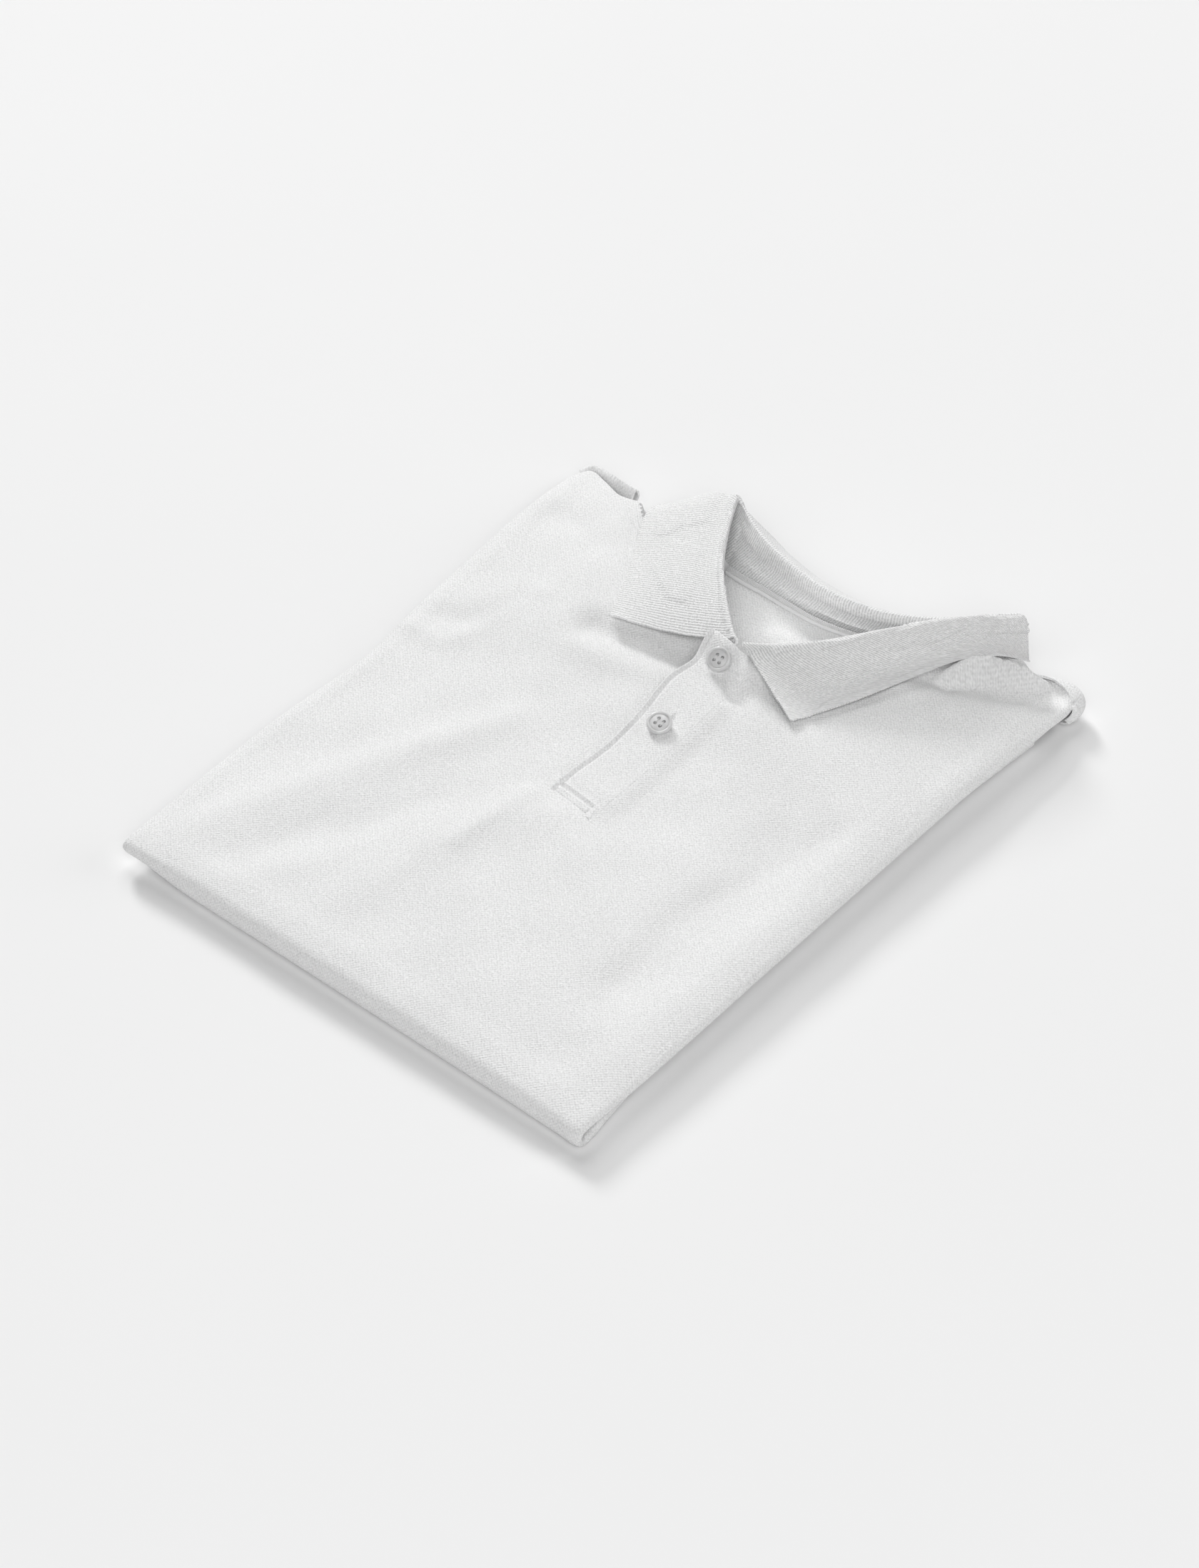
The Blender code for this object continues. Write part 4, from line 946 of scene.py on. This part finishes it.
def front_cloth(material):
    """The front, finer, with its softer folds."""
    columns = front_columns()
    upper, bend, under = (np.array(rows(columns)) for rows in (upper_rows, bend_rows, under_rows))
    points = front_lengths(upper, bend, under)
    facing = facing_of(columns)
    turns = (1 + np.cos(np.linspace(0, math.pi, len(bend)))) / 2
    shares = np.concatenate([np.ones(len(upper)), turns, np.zeros(len(under))])
    beneath = np.concatenate([np.zeros(len(upper) + len(bend)), np.ones(len(under))])
    beneath[-1] = 0.0
    points = np.dstack([points, np.outer(shares, facing), np.outer(beneath, facing)])
    row_steps = ([CHEST_STEP] * (len(upper) - 1) + [CURL_STEP] * len(bend)
                 + [UNDER_STEP] * len(under))
    curls = [CURL_STEP] * CURLS
    column_steps = curls + [CHEST_STEP] * (len(columns) - 1) + curls
    points, row_marks, column_marks = finer(points, row_steps, column_steps)
    slot_column = CURLS + list(columns[:, 0]).index(SLOT_LEFT)
    slot_rows = row_marks[len(FAN_PARTS) + STRAIGHT_Y.index(SLOT_FOOT)]
    keep = np.ones((points.shape[0] - 1, points.shape[1] - 1), bool)
    keep[:slot_rows, column_marks[slot_column] + SLOT_EDGE:column_marks[slot_column + 1]] = False
    front_relief(points, row_marks)
    return cloth("front", points, PIQUE, material, keep=keep)


def front_relief(points, row_marks):
    """Raise and lower the front's points to its folds, the placket, the notch and the shoulder."""
    x, y, height = points[..., 0], points[..., 1], points[..., 2]
    upward, beneath = np.clip(points[..., 5], 0, 1), np.clip(points[..., 6], 0, 1)
    outer, calm = points[..., 5] > 0.5, neck_calm(points, row_marks)
    height += chest_relief(x, y) * upward * calm
    height += fold_heights(x, y, UNDER_FOLDS) * beneath
    beside = ease((PLACKET_RIGHT + FLUSH_REACH - x) / FLUSH_REACH) * (x > FLUSH_EDGE)
    beside = beside * outer * (y > FLUSH_FOOT)
    height += (placket_face(x, y) - FLUSH_LEFT - height) * beside
    height -= into_notch(points) * outer
    height += through_lines(points) * upward * calm
    beyond = np.maximum(placket_left(y) - x, 0)
    along = ease((y - TROUGH_START) / TROUGH_FADES[0]) * ease((TROUGH_END - y) / TROUGH_FADES[1])
    trough = bell(beyond, EDGE_TROUGH_REACH) * along * outer * (x < SLOT_LEFT + 1)
    height -= EDGE_TROUGH * trough
    np.maximum(height, 0.0, out=height)


def neck_calm(points, row_marks):
    """No added folds where the front meets the collar seam."""
    rows = np.arange(points.shape[0])
    return ease(rows / max(1, row_marks[2]))[:, None]


def collar_surface():
    """The collar's middle surface, finer, and eased but for its corners and ends."""
    sections = np.array([collar_section(row) for row in collar_rows()])
    points, marks, _ = finer(sections, COLLAR_STEP, COLLAR_STEP)
    rows = np.arange(len(points))
    held = np.zeros(len(points))
    corners = [COLLAR_STEPS * count - 1
               for count in (len(COLLAR_LEFT), len(COLLAR_LEFT) + len(COLLAR_BACK))]
    for place in [marks[corner] for corner in corners] + [0, rows[-1]]:
        held = np.maximum(held, bell(rows - place, CORNER_HOLD))
    for turn in range(COLLAR_EASING):
        free = np.ones(len(points) - 2) if turn < CORNER_EASING else 1 - held[1:-1]
        points[1:-1] += free[:, None, None] * (points[:-2] + points[2:] - 2 * points[1:-1]) / 4
    fall = points[:, points.shape[1] // 2:]
    for _ in range(LEAF_EASING):
        fall[:, 1:-1] += (fall[:, :-2] + fall[:, 2:] - 2 * fall[:, 1:-1]) / 4
    return points


def collar_cloth(material):
    """The collar, with its rounded knit edge."""
    return cloth("collar", with_lengths(collar_surface()), RIB, material, side=0,
                 even=False)


def tape_sections():
    """Foot, inward way and up way of the neck tape along the back of the collar."""
    first = (len(COLLAR_LEFT) + 1) * COLLAR_STEPS + 1
    last = (len(COLLAR_LEFT) + len(COLLAR_BACK) - 4) * COLLAR_STEPS
    sections = np.array([collar_section(row) for row in collar_rows()[first:last + 1]])
    feet = sections[:, 0]
    along = np.gradient(feet, axis=0)
    inward = unit(np.column_stack([along[:, 1], -along[:, 0], np.zeros(len(along))]))
    return feet, inward, unit(sections[:, 1] - feet)


def tape_cloth(material, cord_material):
    """The neck tape and the rounded cord along its foot."""
    feet, inward, up = tape_sections()
    base = feet + inward * (RIB / 2 + 2 * SEAM_GAP)
    rises = np.linspace(*TAPE_RISES, TAPE_COLUMNS)
    points = np.stack([base + up * rise for rise in rises], axis=1)
    points, _, _ = finer(with_lengths(points), *TAPE_STEPS)
    tape = cloth("neck_tape", points, TAPE, material, side=1)
    line = base + up * CORD_RISE + inward * (TAPE + CORD_OFF)
    line = finer_rows(line[:, None], TAPE_STEPS[0])[0][:, 0]
    return tape, cord(line, cord_material)


def cord(line, material):
    """The neck tape's round cord along a line of points."""
    along = unit(np.gradient(line, axis=0))
    level = unit(np.cross(along, [0.0, 0.0, 1.0]))
    turns = np.linspace(0, 2 * math.pi, CORD_SIDES, endpoint=False)
    rings = (line[:, None] + CORD_RADIUS * np.cos(turns)[None, :, None] * level[:, None]
             + CORD_RADIUS * np.sin(turns)[None, :, None] * np.cross(level, along)[:, None])
    run = run_along(line)[:, None]
    lengths = np.stack(np.broadcast_arrays(run, turns[None] * CORD_RADIUS), axis=-1)
    return closed_rings("neck_tape_cord", rings, lengths, material)


def box_line(x, y):
    """Distance to the tack box's sewn outline."""
    corners = TACK_BOX + TACK_BOX[:1]
    sides = [distance_to_route(x, y, side) for side in zip(corners[:-1], corners[1:])]
    return np.minimum.reduce(sides)


def foot_y(x):
    """The placket's foot, a little lower to the right."""
    (near_x, near_y), (far_x, far_y) = TACK_BOX[3], TACK_BOX[2]
    return near_y - 0.5 + (far_y - near_y) * (x - near_x) / (far_x - near_x)


def placket_cloth(material):
    """The upper placket, finer, with its folded free edge and its tack box."""
    along = 1 - (1 - np.linspace(0, 1, BAND_ROWS)[:, None]) ** BAND_CROWD_TOP
    across = np.linspace(0, 1, BAND_COLUMNS)[None] ** BAND_CROWD_EDGE
    x = PLACKET_LEFT + (PLACKET_RIGHT - PLACKET_LEFT) * across
    near = np.clip(1 - (x - PLACKET_LEFT) / CORNER, 0, 1)
    end = placket_top(x)[0] - CORNER * (1 - np.sqrt(1 - near ** 2))
    y = foot_y(x) + (end - foot_y(x)) * along
    left = placket_left(y)
    x = left + (PLACKET_RIGHT - left) * across
    points = np.dstack([x, y, placket_face(x, y), x, y])
    return cloth("placket", points, BAND, material, up=False, rim=FOLDED_RIM)


def under_placket_cloth(material):
    """The under placket, finer."""
    y, x = np.meshgrid(np.linspace(UNDER_FOOT, UNDER_TOP_Y, UNDER_ROWS),
                       np.linspace(SLOT_LEFT + 2 * SEAM_GAP, UNDER_RIGHT, UNDER_COLUMNS),
                       indexing="ij")
    rise = UNDER_TOP_Z - top(x, UNDER_TOP_Y) + LAP_DROP
    height = top(x, y) - lap_drop(PLACKET_LEFT, y) + rise * bell(UNDER_TOP_Y - y, NECK_REACH)
    points = np.dstack([x, y, height - PIQUE - SEAM_GAP, x, y])
    points, _, _ = finer(points, UNDER_STEPS, UNDER_STEPS)
    return cloth("under_placket", points, BAND, material, up=False)


def back_cloth(material):
    """The upper back, finer, with the soft folds seen through the neck."""
    points = []
    for part in np.linspace(0, 1, 2 * BACK_ROWS):
        row = [(x, BACK_NEAR_Y + (far_y - BACK_NEAR_Y) * part) for x, far_y, _ in BACK_FAR]
        points.append([(x, y, back_height(x, y), x, y) for x, y in row])
    points, _, _ = finer(np.array(points), BACK_STEP, BACK_STEP)
    points[..., 2] += fold_heights(points[..., 0], points[..., 1], BACK_FOLDS)
    return cloth("back", points, PIQUE, material, up=False)


def sleeve_cloth(node, rows, material):
    """A folded-back sleeve's end, finer."""
    sections = [evenly(np.reshape(row, (4, 3)), SLEEVE_POINTS).ravel() for row in rows]
    points = through(sections, 2 * len(rows) - 1).reshape(-1, SLEEVE_POINTS, 3)
    points, _, _ = finer(with_lengths(points), SLEEVE_STEP, SLEEVE_STEP)
    return cloth(node, points, PIQUE, material, up=False)


def folded_layers(material):
    """The layers between the two legs, with their rounded edges at the shoulder end."""
    rings = []
    for x in np.linspace(HIDDEN_LEFT, HIDDEN_RIGHT, HIDDEN_STATIONS):
        upper_end, lower_end = spline(HIDDEN_ENDS, x)
        shift = sum(reach * math.sin(x / length + start) for reach, length, start in HIDDEN_WAVES)
        ring = [(x, y, z) for y, z in hidden_profile(x, upper_end + shift, lower_end - shift)]
        rings.append(ring + ring[:1])
    points, _, _ = finer(with_lengths(np.array(rings)), *HIDDEN_STEPS)
    points = points[:, :-1]
    return closed_rings("folded_layers", points[..., :3], points[..., 3:5], material,
                        "hidden_layers")


def on_placket(x, y):
    """A button's place on the placket, the way it faces and the turn that lays it so."""
    step = SLOPE_STEP
    slope_x = (placket_surface(x + step, y) - placket_surface(x - step, y)) / (2 * step)
    slope_y = (placket_surface(x, y + step) - placket_surface(x, y - step)) / (2 * step)
    lean = float(np.interp(y, *zip(*LEANS))) * Vector(BUTTON_LEAN)
    normal = (Vector((-slope_x, -slope_y, 1.0)).normalized() + lean).normalized()
    base = Vector((x, y, placket_surface(x, y) + BAND)) + normal * BUTTON_LIFT
    return base, Vector((0, 0, 1)).rotation_difference(normal)


def thread_piece(name, strands, material):
    """Thread along strands, each with its line, radii, level way, upward ways and sides."""
    verts, faces = [], []
    for line, radii, level, rises, sides in strands:
        base, turns = len(verts), np.linspace(0, 2 * math.pi, sides, endpoint=False)
        for centre, radius, rise in zip(line, radii, rises):
            verts += [centre + radius * (math.cos(turn) * level + math.sin(turn) * rise)
                      for turn in turns]
        for ring in range(base, base + (len(line) - 1) * sides, sides):
            for side in range(sides):
                a, b = ring + side, ring + (side + 1) % sides
                faces.append((a, b, b + sides, a + sides))
        faces.append(tuple(range(base + sides - 1, base - 1, -1)))
        faces.append(tuple(range(len(verts) - sides, len(verts))))
    mesh = bpy.data.meshes.new(name)
    mesh.from_pydata(placed(np.array(verts)).tolist(), [], faces)
    mesh.shade_smooth()
    return add(name, mesh, material)


def stitches(route):
    """The strands of short raised stitches along a route of points."""
    run = run_along(route)
    for start in np.arange(0, run[-1] - STITCH, STITCH + STITCH_GAP):
        places = start + STITCH * np.array(STITCH_PARTS)
        radii = THREAD * np.array(STITCH_SWELL)
        line = np.stack([np.interp(places, run, route[:, axis]) for axis in range(3)], axis=1)
        way = unit(line[-1] - line[0])
        level = unit(np.cross(way, [0.0, 0.0, 1.0]))
        yield line, radii, level, [np.cross(level, way)] * len(line), STITCH_SIDES


def placket_stitching(material):
    """Stitching inside the placket's free edge and round its tack box and buttonholes."""
    y = np.linspace(TACK_BOX[0][1], PLACKET_TOP_LEFT - CORNER, EDGE_POINTS)
    x = placket_left(y) + EDGE_STITCH
    edge = np.stack([x, y, placket_face(x, y)], axis=1)
    box = []
    for start, end in zip(TACK_BOX, TACK_BOX[1:] + TACK_BOX[:1]):
        side = np.linspace(start, end, BOX_POINTS, endpoint=False)
        box.append(np.column_stack([side, placket_face(side[:, 0], side[:, 1]) + THREAD / 2]))
    routes = [edge, np.concatenate([*box, box[0][:1]])]
    for start, end in np.array(BUTTONHOLES):
        way = unit(end - start)
        for side in (-HOLE_BORDER, HOLE_BORDER):
            beside = side * np.array([-way[1], way[0]])
            line = np.linspace(start, end, HOLE_POINTS) + beside
            routes.append(np.column_stack([line, placket_face(line[:, 0], line[:, 1])]))
    strands = [strand for route in routes for strand in stitches(route)]
    return thread_piece("placket_stitching", strands, material)


def button_looks(name, x, y, material):
    """A four-hole button turned from its rim profile."""
    mesh = bpy.data.meshes.new(name + "_turned")
    verts = [(radius * MM, 0.0, height * MM) for radius, height in BUTTON_PROFILE]
    mesh.from_pydata(verts, [(step, step + 1) for step in range(len(verts) - 1)], [])
    mould = put(name + "_turned", mesh)
    turn = mould.modifiers.new("Turned", "SCREW")
    turn.steps = turn.render_steps = BUTTON_TURNS
    turn.use_merge_vertices = True
    turn.merge_threshold = MERGE
    cut = mould.modifiers.new("Holes", "BOOLEAN")
    cut.object = button_holes(name)
    depsgraph = bpy.context.evaluated_depsgraph_get()
    made = bpy.data.meshes.new_from_object(mould.evaluated_get(depsgraph))
    bpy.data.objects.remove(cut.object)
    bpy.data.objects.remove(mould)
    made.set_sharp_from_angle(angle=SHARP)
    base, turned = on_placket(x, y)
    made.transform(Matrix.Translation(Vector(placed(base))) @ turned.to_matrix().to_4x4())
    made.materials.clear()
    return add(name + "_looks", made, material, name)


def button_holes(name):
    """Cutter with the four thread holes."""
    holes = bmesh.new()
    for side_x in (-1, 1):
        for side_y in (-1, 1):
            place = (side_x * BUTTON_HOLE_REACH, side_y * BUTTON_HOLE_REACH, BUTTON_THICK / 2)
            bmesh.ops.create_cone(holes, cap_ends=True, segments=HOLE_SIDES,
                                  radius1=BUTTON_HOLE * MM, radius2=BUTTON_HOLE * MM,
                                  depth=3 * BUTTON_THICK * MM,
                                  matrix=Matrix.Translation(Vector(place) * MM))
    mesh = bpy.data.meshes.new(name + "_cutter")
    holes.to_mesh(mesh)
    holes.free()
    return put(name + "_cutter", mesh)


def button_thread(name, x, y, material):
    """Sewing thread from hole to hole on the button, and its shank to the cloth."""
    base, turned = on_placket(x, y)
    level = np.array(turned @ Vector((1, 0, 0)))
    strands = []
    for side in (-BUTTON_HOLE_REACH, BUTTON_HOLE_REACH):
        for strand in (-STRAND_HALF, STRAND_HALF):
            arch = [(-BUTTON_HOLE_REACH, -BUTTON_LIFT)]
            for turn in np.linspace(0, math.pi, STRAND_POINTS):
                height = STRAND_FOOT + STRAND_ARCH * math.sin(turn) ** STRAND_POWER
                arch.append((-BUTTON_HOLE_REACH * math.cos(turn), height))
            arch.append((BUTTON_HOLE_REACH, -BUTTON_LIFT))
            line = np.array([base + turned @ Vector((side + strand, *place)) for place in arch])
            rises = np.cross(unit(np.gradient(line, axis=0)), level)
            strands.append((line, [STRAND_RADIUS] * len(line), level, rises, STRAND_SIDES))
    return thread_piece(name + "_thread", strands, material)


class Nodes:
    """A material's nodes, added and joined in reading order."""

    def __init__(self, name):
        self.material = bpy.data.materials.new(name)
        self.material.use_nodes = True
        self.tree = self.material.node_tree
        self.shader = self.tree.nodes["Principled BSDF"]

    def feed(self, node, inputs):
        """Fill a node's inputs, each with a value or another node's output."""
        for key, value in inputs.items():
            if isinstance(value, bpy.types.NodeSocket):
                self.tree.links.new(value, node.inputs[key])
            elif value is not None:
                node.inputs[key].default_value = value

    def add(self, kind, inputs, output=0, **settings):
        """The output of a new node with its settings and inputs."""
        node = self.tree.nodes.new(kind)
        for key, value in settings.items():
            setattr(node, key, value)
        self.feed(node, inputs)
        return node.outputs[output]

    def math(self, operation, first, second=None):
        """A math node's result."""
        return self.add("ShaderNodeMath", {0: first, 1: second}, operation=operation)

    def total(self, *parts):
        """The sum of values, each times its weight."""
        whole, *others = [self.math("MULTIPLY", *part) for part in parts]
        for other in others:
            whole = self.math("ADD", whole, other)
        return whole

    def noise(self, vector, scale, detail=2.0, roughness=0.5, output="Fac"):
        """A noise texture's value at a vector."""
        return self.add("ShaderNodeTexNoise", {"Vector": vector, "Scale": scale, "Detail": detail,
                                               "Roughness": roughness}, output)

    def grey(self, amount, dark, light):
        """A grey between two, by an amount from 0 to 1."""
        return self.add("ShaderNodeMix", {"Factor": amount, "A": (dark, dark, dark, 1.0),
                                          "B": (light, light, light, 1.0)}, "Result",
                        data_type="RGBA")

    def spread(self, value, low, high, to_low=0.0, to_high=1.0):
        """A value moved from one range to another."""
        return self.add("ShaderNodeMapRange", {0: value, 1: low, 2: high, 3: to_low, 4: to_high})

    def wave(self, length, cell):
        """A sine along a length, one turn for each cell in metres."""
        return self.math("SINE", self.math("MULTIPLY", length, 2 * math.pi / cell))

    def bump(self, height, strength, distance):
        """Relief from a height from 0 to 1."""
        return self.add("ShaderNodeBump", {"Height": height, "Strength": strength,
                                           "Distance": distance}, "Normal")

    def shade(self, colour, roughness, **others):
        """Fill the shader's inputs, and give the material."""
        self.feed(self.shader, {"Base Color": colour, "Roughness": roughness,
                                **{key.replace("_", " "): value for key, value in others.items()}})
        return self.material

    def cotton(self, colour, fibre, relief, depth, rough=(0.88, 1.0)):
        """The material with cotton's rough fibre, and its soft bloom at a slant."""
        return self.shade(colour, self.spread(fibre, 0.3, 0.7, *rough),
                          Normal=self.bump(relief, *depth), Specular_IOR_Level=0.2,
                          Sheen_Weight=0.12, Sheen_Roughness=0.5)


def cloth_run(nodes):
    """The cloth's own two lengths in metres, slightly wavy: together, across and along."""
    lengths = nodes.add("ShaderNodeUVMap", {}, "UV", uv_map="Cloth")
    waver = nodes.noise(lengths, 90.0, output="Color")
    centred = nodes.add("ShaderNodeVectorMath", {0: waver, 1: (0.5, 0.5, 0.5)},
                        operation="SUBTRACT")
    small = nodes.add("ShaderNodeVectorMath", {0: centred, "Scale": WAVER}, operation="SCALE")
    moved = nodes.add("ShaderNodeVectorMath", {0: lengths, 1: small}, operation="ADD")
    across = nodes.add("ShaderNodeSeparateXYZ", {0: moved}, "X")
    return moved, across, across.node.outputs["Y"]


def pique_material():
    """White cotton pique: small raised cells in staggered rows, with soft fibre between."""
    nodes = Nodes("white_pique_cotton")
    vector, across, along = cloth_run(nodes)
    cells = nodes.math("MULTIPLY", nodes.wave(across, PIQUE_CELL), nodes.wave(along, PIQUE_CELL))
    fibre = nodes.noise(vector, 2600.0, 3.0, 0.6)
    grain = nodes.noise(vector, GRAIN_SCALE, 1.0)
    blotch = nodes.noise(vector, 24.0, 3.0)
    relief = nodes.total((cells, 0.5), (fibre, 0.6), (grain, 1.6))
    # Painted shade: the cells and grain darken the colour where their relief is low; the blotch is
    # random tone
    pit_shade_and_tone = nodes.total((cells, 0.26), (blotch, 0.4), (grain, 2.0))
    colour = nodes.grey(nodes.spread(pit_shade_and_tone, 0.6, 1.7), COTTON_PAINTED_PIT_SHADE, COTTON)
    return nodes.cotton(colour, fibre, relief, (0.7, 0.00026))


def rib_material():
    """White flat knit: fine ribs from the neck seam to the edge."""
    nodes = Nodes("white_rib_knit")
    vector, across, along = cloth_run(nodes)
    ribs, rows = nodes.wave(along, RIB_CELL), nodes.wave(across, RIB_CELL * 0.62)
    fibre = nodes.noise(vector, 2400.0, 3.0, 0.6)
    grain = nodes.noise(vector, GRAIN_SCALE, 1.0)
    relief = nodes.total((ribs, 0.5), (rows, 0.22), (fibre, 0.7), (grain, 1.4))
    # Painted shade: the ribs and grain darken the colour where their relief is low
    pit_shade_and_tone = nodes.total((ribs, 0.4), (grain, 2.0))
    colour = nodes.grey(nodes.spread(pit_shade_and_tone, 0.6, 1.3), RIB_PAINTED_PIT_SHADE, COTTON)
    return nodes.cotton(colour, fibre, relief, (0.65, 0.00026))


def tape_material():
    """White woven tape with a zigzag weave."""
    nodes = Nodes("white_tape")
    vector, across, along = cloth_run(nodes)
    zigzag = nodes.math("PINGPONG", across, TAPE_CELL)
    weave = nodes.wave(nodes.math("ADD", along, zigzag), TAPE_CELL * 0.6)
    fibre = nodes.noise(vector, 2400.0)
    # Painted shade: the weave darkens the colour where its relief is low
    colour = nodes.grey(nodes.spread(weave, -1.0, 1.0), TAPE_PAINTED_PIT_SHADE, COTTON)
    return nodes.cotton(colour, fibre, nodes.total((weave, 0.6), (fibre, 0.5)), (0.6, 0.0003),
                        (0.8, 0.95))


def thread_material():
    """White sewing thread, twisted."""
    nodes = Nodes("white_thread")
    twist = nodes.noise(nodes.add("ShaderNodeTexCoord", {}, "Object"), 4200.0)
    return nodes.shade(nodes.grey(twist, *THREAD_GREYS), nodes.spread(twist, 0.3, 0.7, 0.6, 0.8),
                       Normal=nodes.bump(twist, 0.4, 0.0001))


def button_material():
    """Pale button plastic with a faint cloudy pearl."""
    nodes = Nodes("pale_button_plastic")
    place = nodes.add("ShaderNodeTexCoord", {}, "Object")
    cloud = nodes.noise(place, 260.0, 3.0)
    fine = nodes.noise(place, 1900.0)
    colour = nodes.grey(nodes.spread(cloud, 0.35, 0.65), *BUTTON_GREYS)
    return nodes.shade(colour, nodes.spread(fine, 0.3, 0.7, 0.28, 0.42),
                       Normal=nodes.bump(fine, 0.15, 0.00005), Coat_Weight=0.15,
                       Coat_Roughness=0.2)


def floor():
    """A plain pale surface under the shirt."""
    mesh = bpy.data.meshes.new("floor")
    corners = ((-1, -1), (1, -1), (1, 1), (-1, 1))
    mesh.from_pydata([(x * FLOOR_HALF, y * FLOOR_HALF, FLOOR_Z) for x, y in corners], [],
                     [(0, 1, 2, 3)])
    nodes = Nodes("pale_floor")
    cloud = nodes.noise(nodes.add("ShaderNodeTexCoord", {}, "Object"), 3.0)
    mesh.materials.append(nodes.shade(nodes.grey(cloud, *FLOOR_GREYS), 0.9,
                                      Specular_IOR_Level=0.1))
    put("floor", mesh)


def lamp(name, shape, size, power, place, way):
    """A lamp of a size and power at a place in metres, shining back along a way."""
    data = bpy.data.lights.new(name, "AREA")
    data.shape = shape
    data.size, data.size_y = size
    data.energy = power
    lit = put(name, data)
    lit.location = place
    lit.rotation_mode = "QUATERNION"
    lit.rotation_quaternion = way.to_track_quat("Z", "Y")
    return lit


def light():
    """Soft studio light: a lamp from the far left, broad ones round about and a faint surround."""
    place, aim, size, power = NECK_FILL
    fill = lamp("neck_fill", "RECTANGLE", [side * MM for side in size], power, placed(place),
                Vector(place) - Vector(aim))
    fill.visible_camera = False
    for name, azimuth, elevation, distance, size, power in LAMPS:
        azimuth, elevation = math.radians(azimuth), math.radians(elevation)
        way = Vector((math.cos(azimuth) * math.cos(elevation),
                      math.sin(azimuth) * math.cos(elevation), math.sin(elevation)))
        lamp(name, "DISK", (size, size), power, way * distance, way)
    world = bpy.data.worlds.new("surround")
    world.use_nodes = True
    surround = world.node_tree.nodes["Background"]
    surround.inputs["Color"].default_value = (1.0, 1.0, 1.0, 1.0)
    surround.inputs["Strength"].default_value = SURROUND
    bpy.context.scene.world = world


def camera():
    """The photograph's view."""
    azimuth, elevation = math.radians(CAMERA_AZIMUTH), math.radians(CAMERA_ELEVATION)
    back = Vector((math.sin(azimuth) * math.cos(elevation),
                   -math.cos(azimuth) * math.cos(elevation), math.sin(elevation)))
    right = Vector((math.cos(azimuth), math.sin(azimuth), 0.0))
    eye = Vector(placed(CAMERA_TARGET)) + back * CAMERA_DISTANCE * MM
    lens = bpy.data.cameras.new("camera")
    lens.sensor_fit = "AUTO"
    lens.sensor_width = SENSOR
    lens.lens = CAMERA_FOCAL / PICTURE_HEIGHT * SENSOR
    lens.clip_start = NEAR_LIMIT
    thing = put("camera", lens)
    thing.matrix_world = Matrix((*zip(right, back.cross(right), back, eye), (0, 0, 0, 1)))
    bpy.context.scene.camera = thing


def main():
    """Every piece of the shirt, then the stage, the light and the camera."""
    camera()
    pique, rib, thread = pique_material(), rib_material(), thread_material()
    front = front_cloth(pique)
    back = back_cloth(pique)
    layers = folded_layers(pique)
    collar = collar_cloth(rib)
    tape, tape_cord = tape_cloth(tape_material(), thread)
    placket = placket_cloth(pique)
    under = under_placket_cloth(pique)
    left = sleeve_cloth("sleeve_left", SLEEVE_LEFT, pique)
    right = sleeve_cloth("sleeve_right", SLEEVE_RIGHT, pique)
    sewn = [placket_stitching(thread)]
    plastic = button_material()
    for name, x, y in BUTTONS:
        sewn += [button_looks(name, x, y, plastic), button_thread(name, x, y, thread)]
    floor()
    light()
    bpy.context.scene.view_settings.view_transform = "Standard"


main()
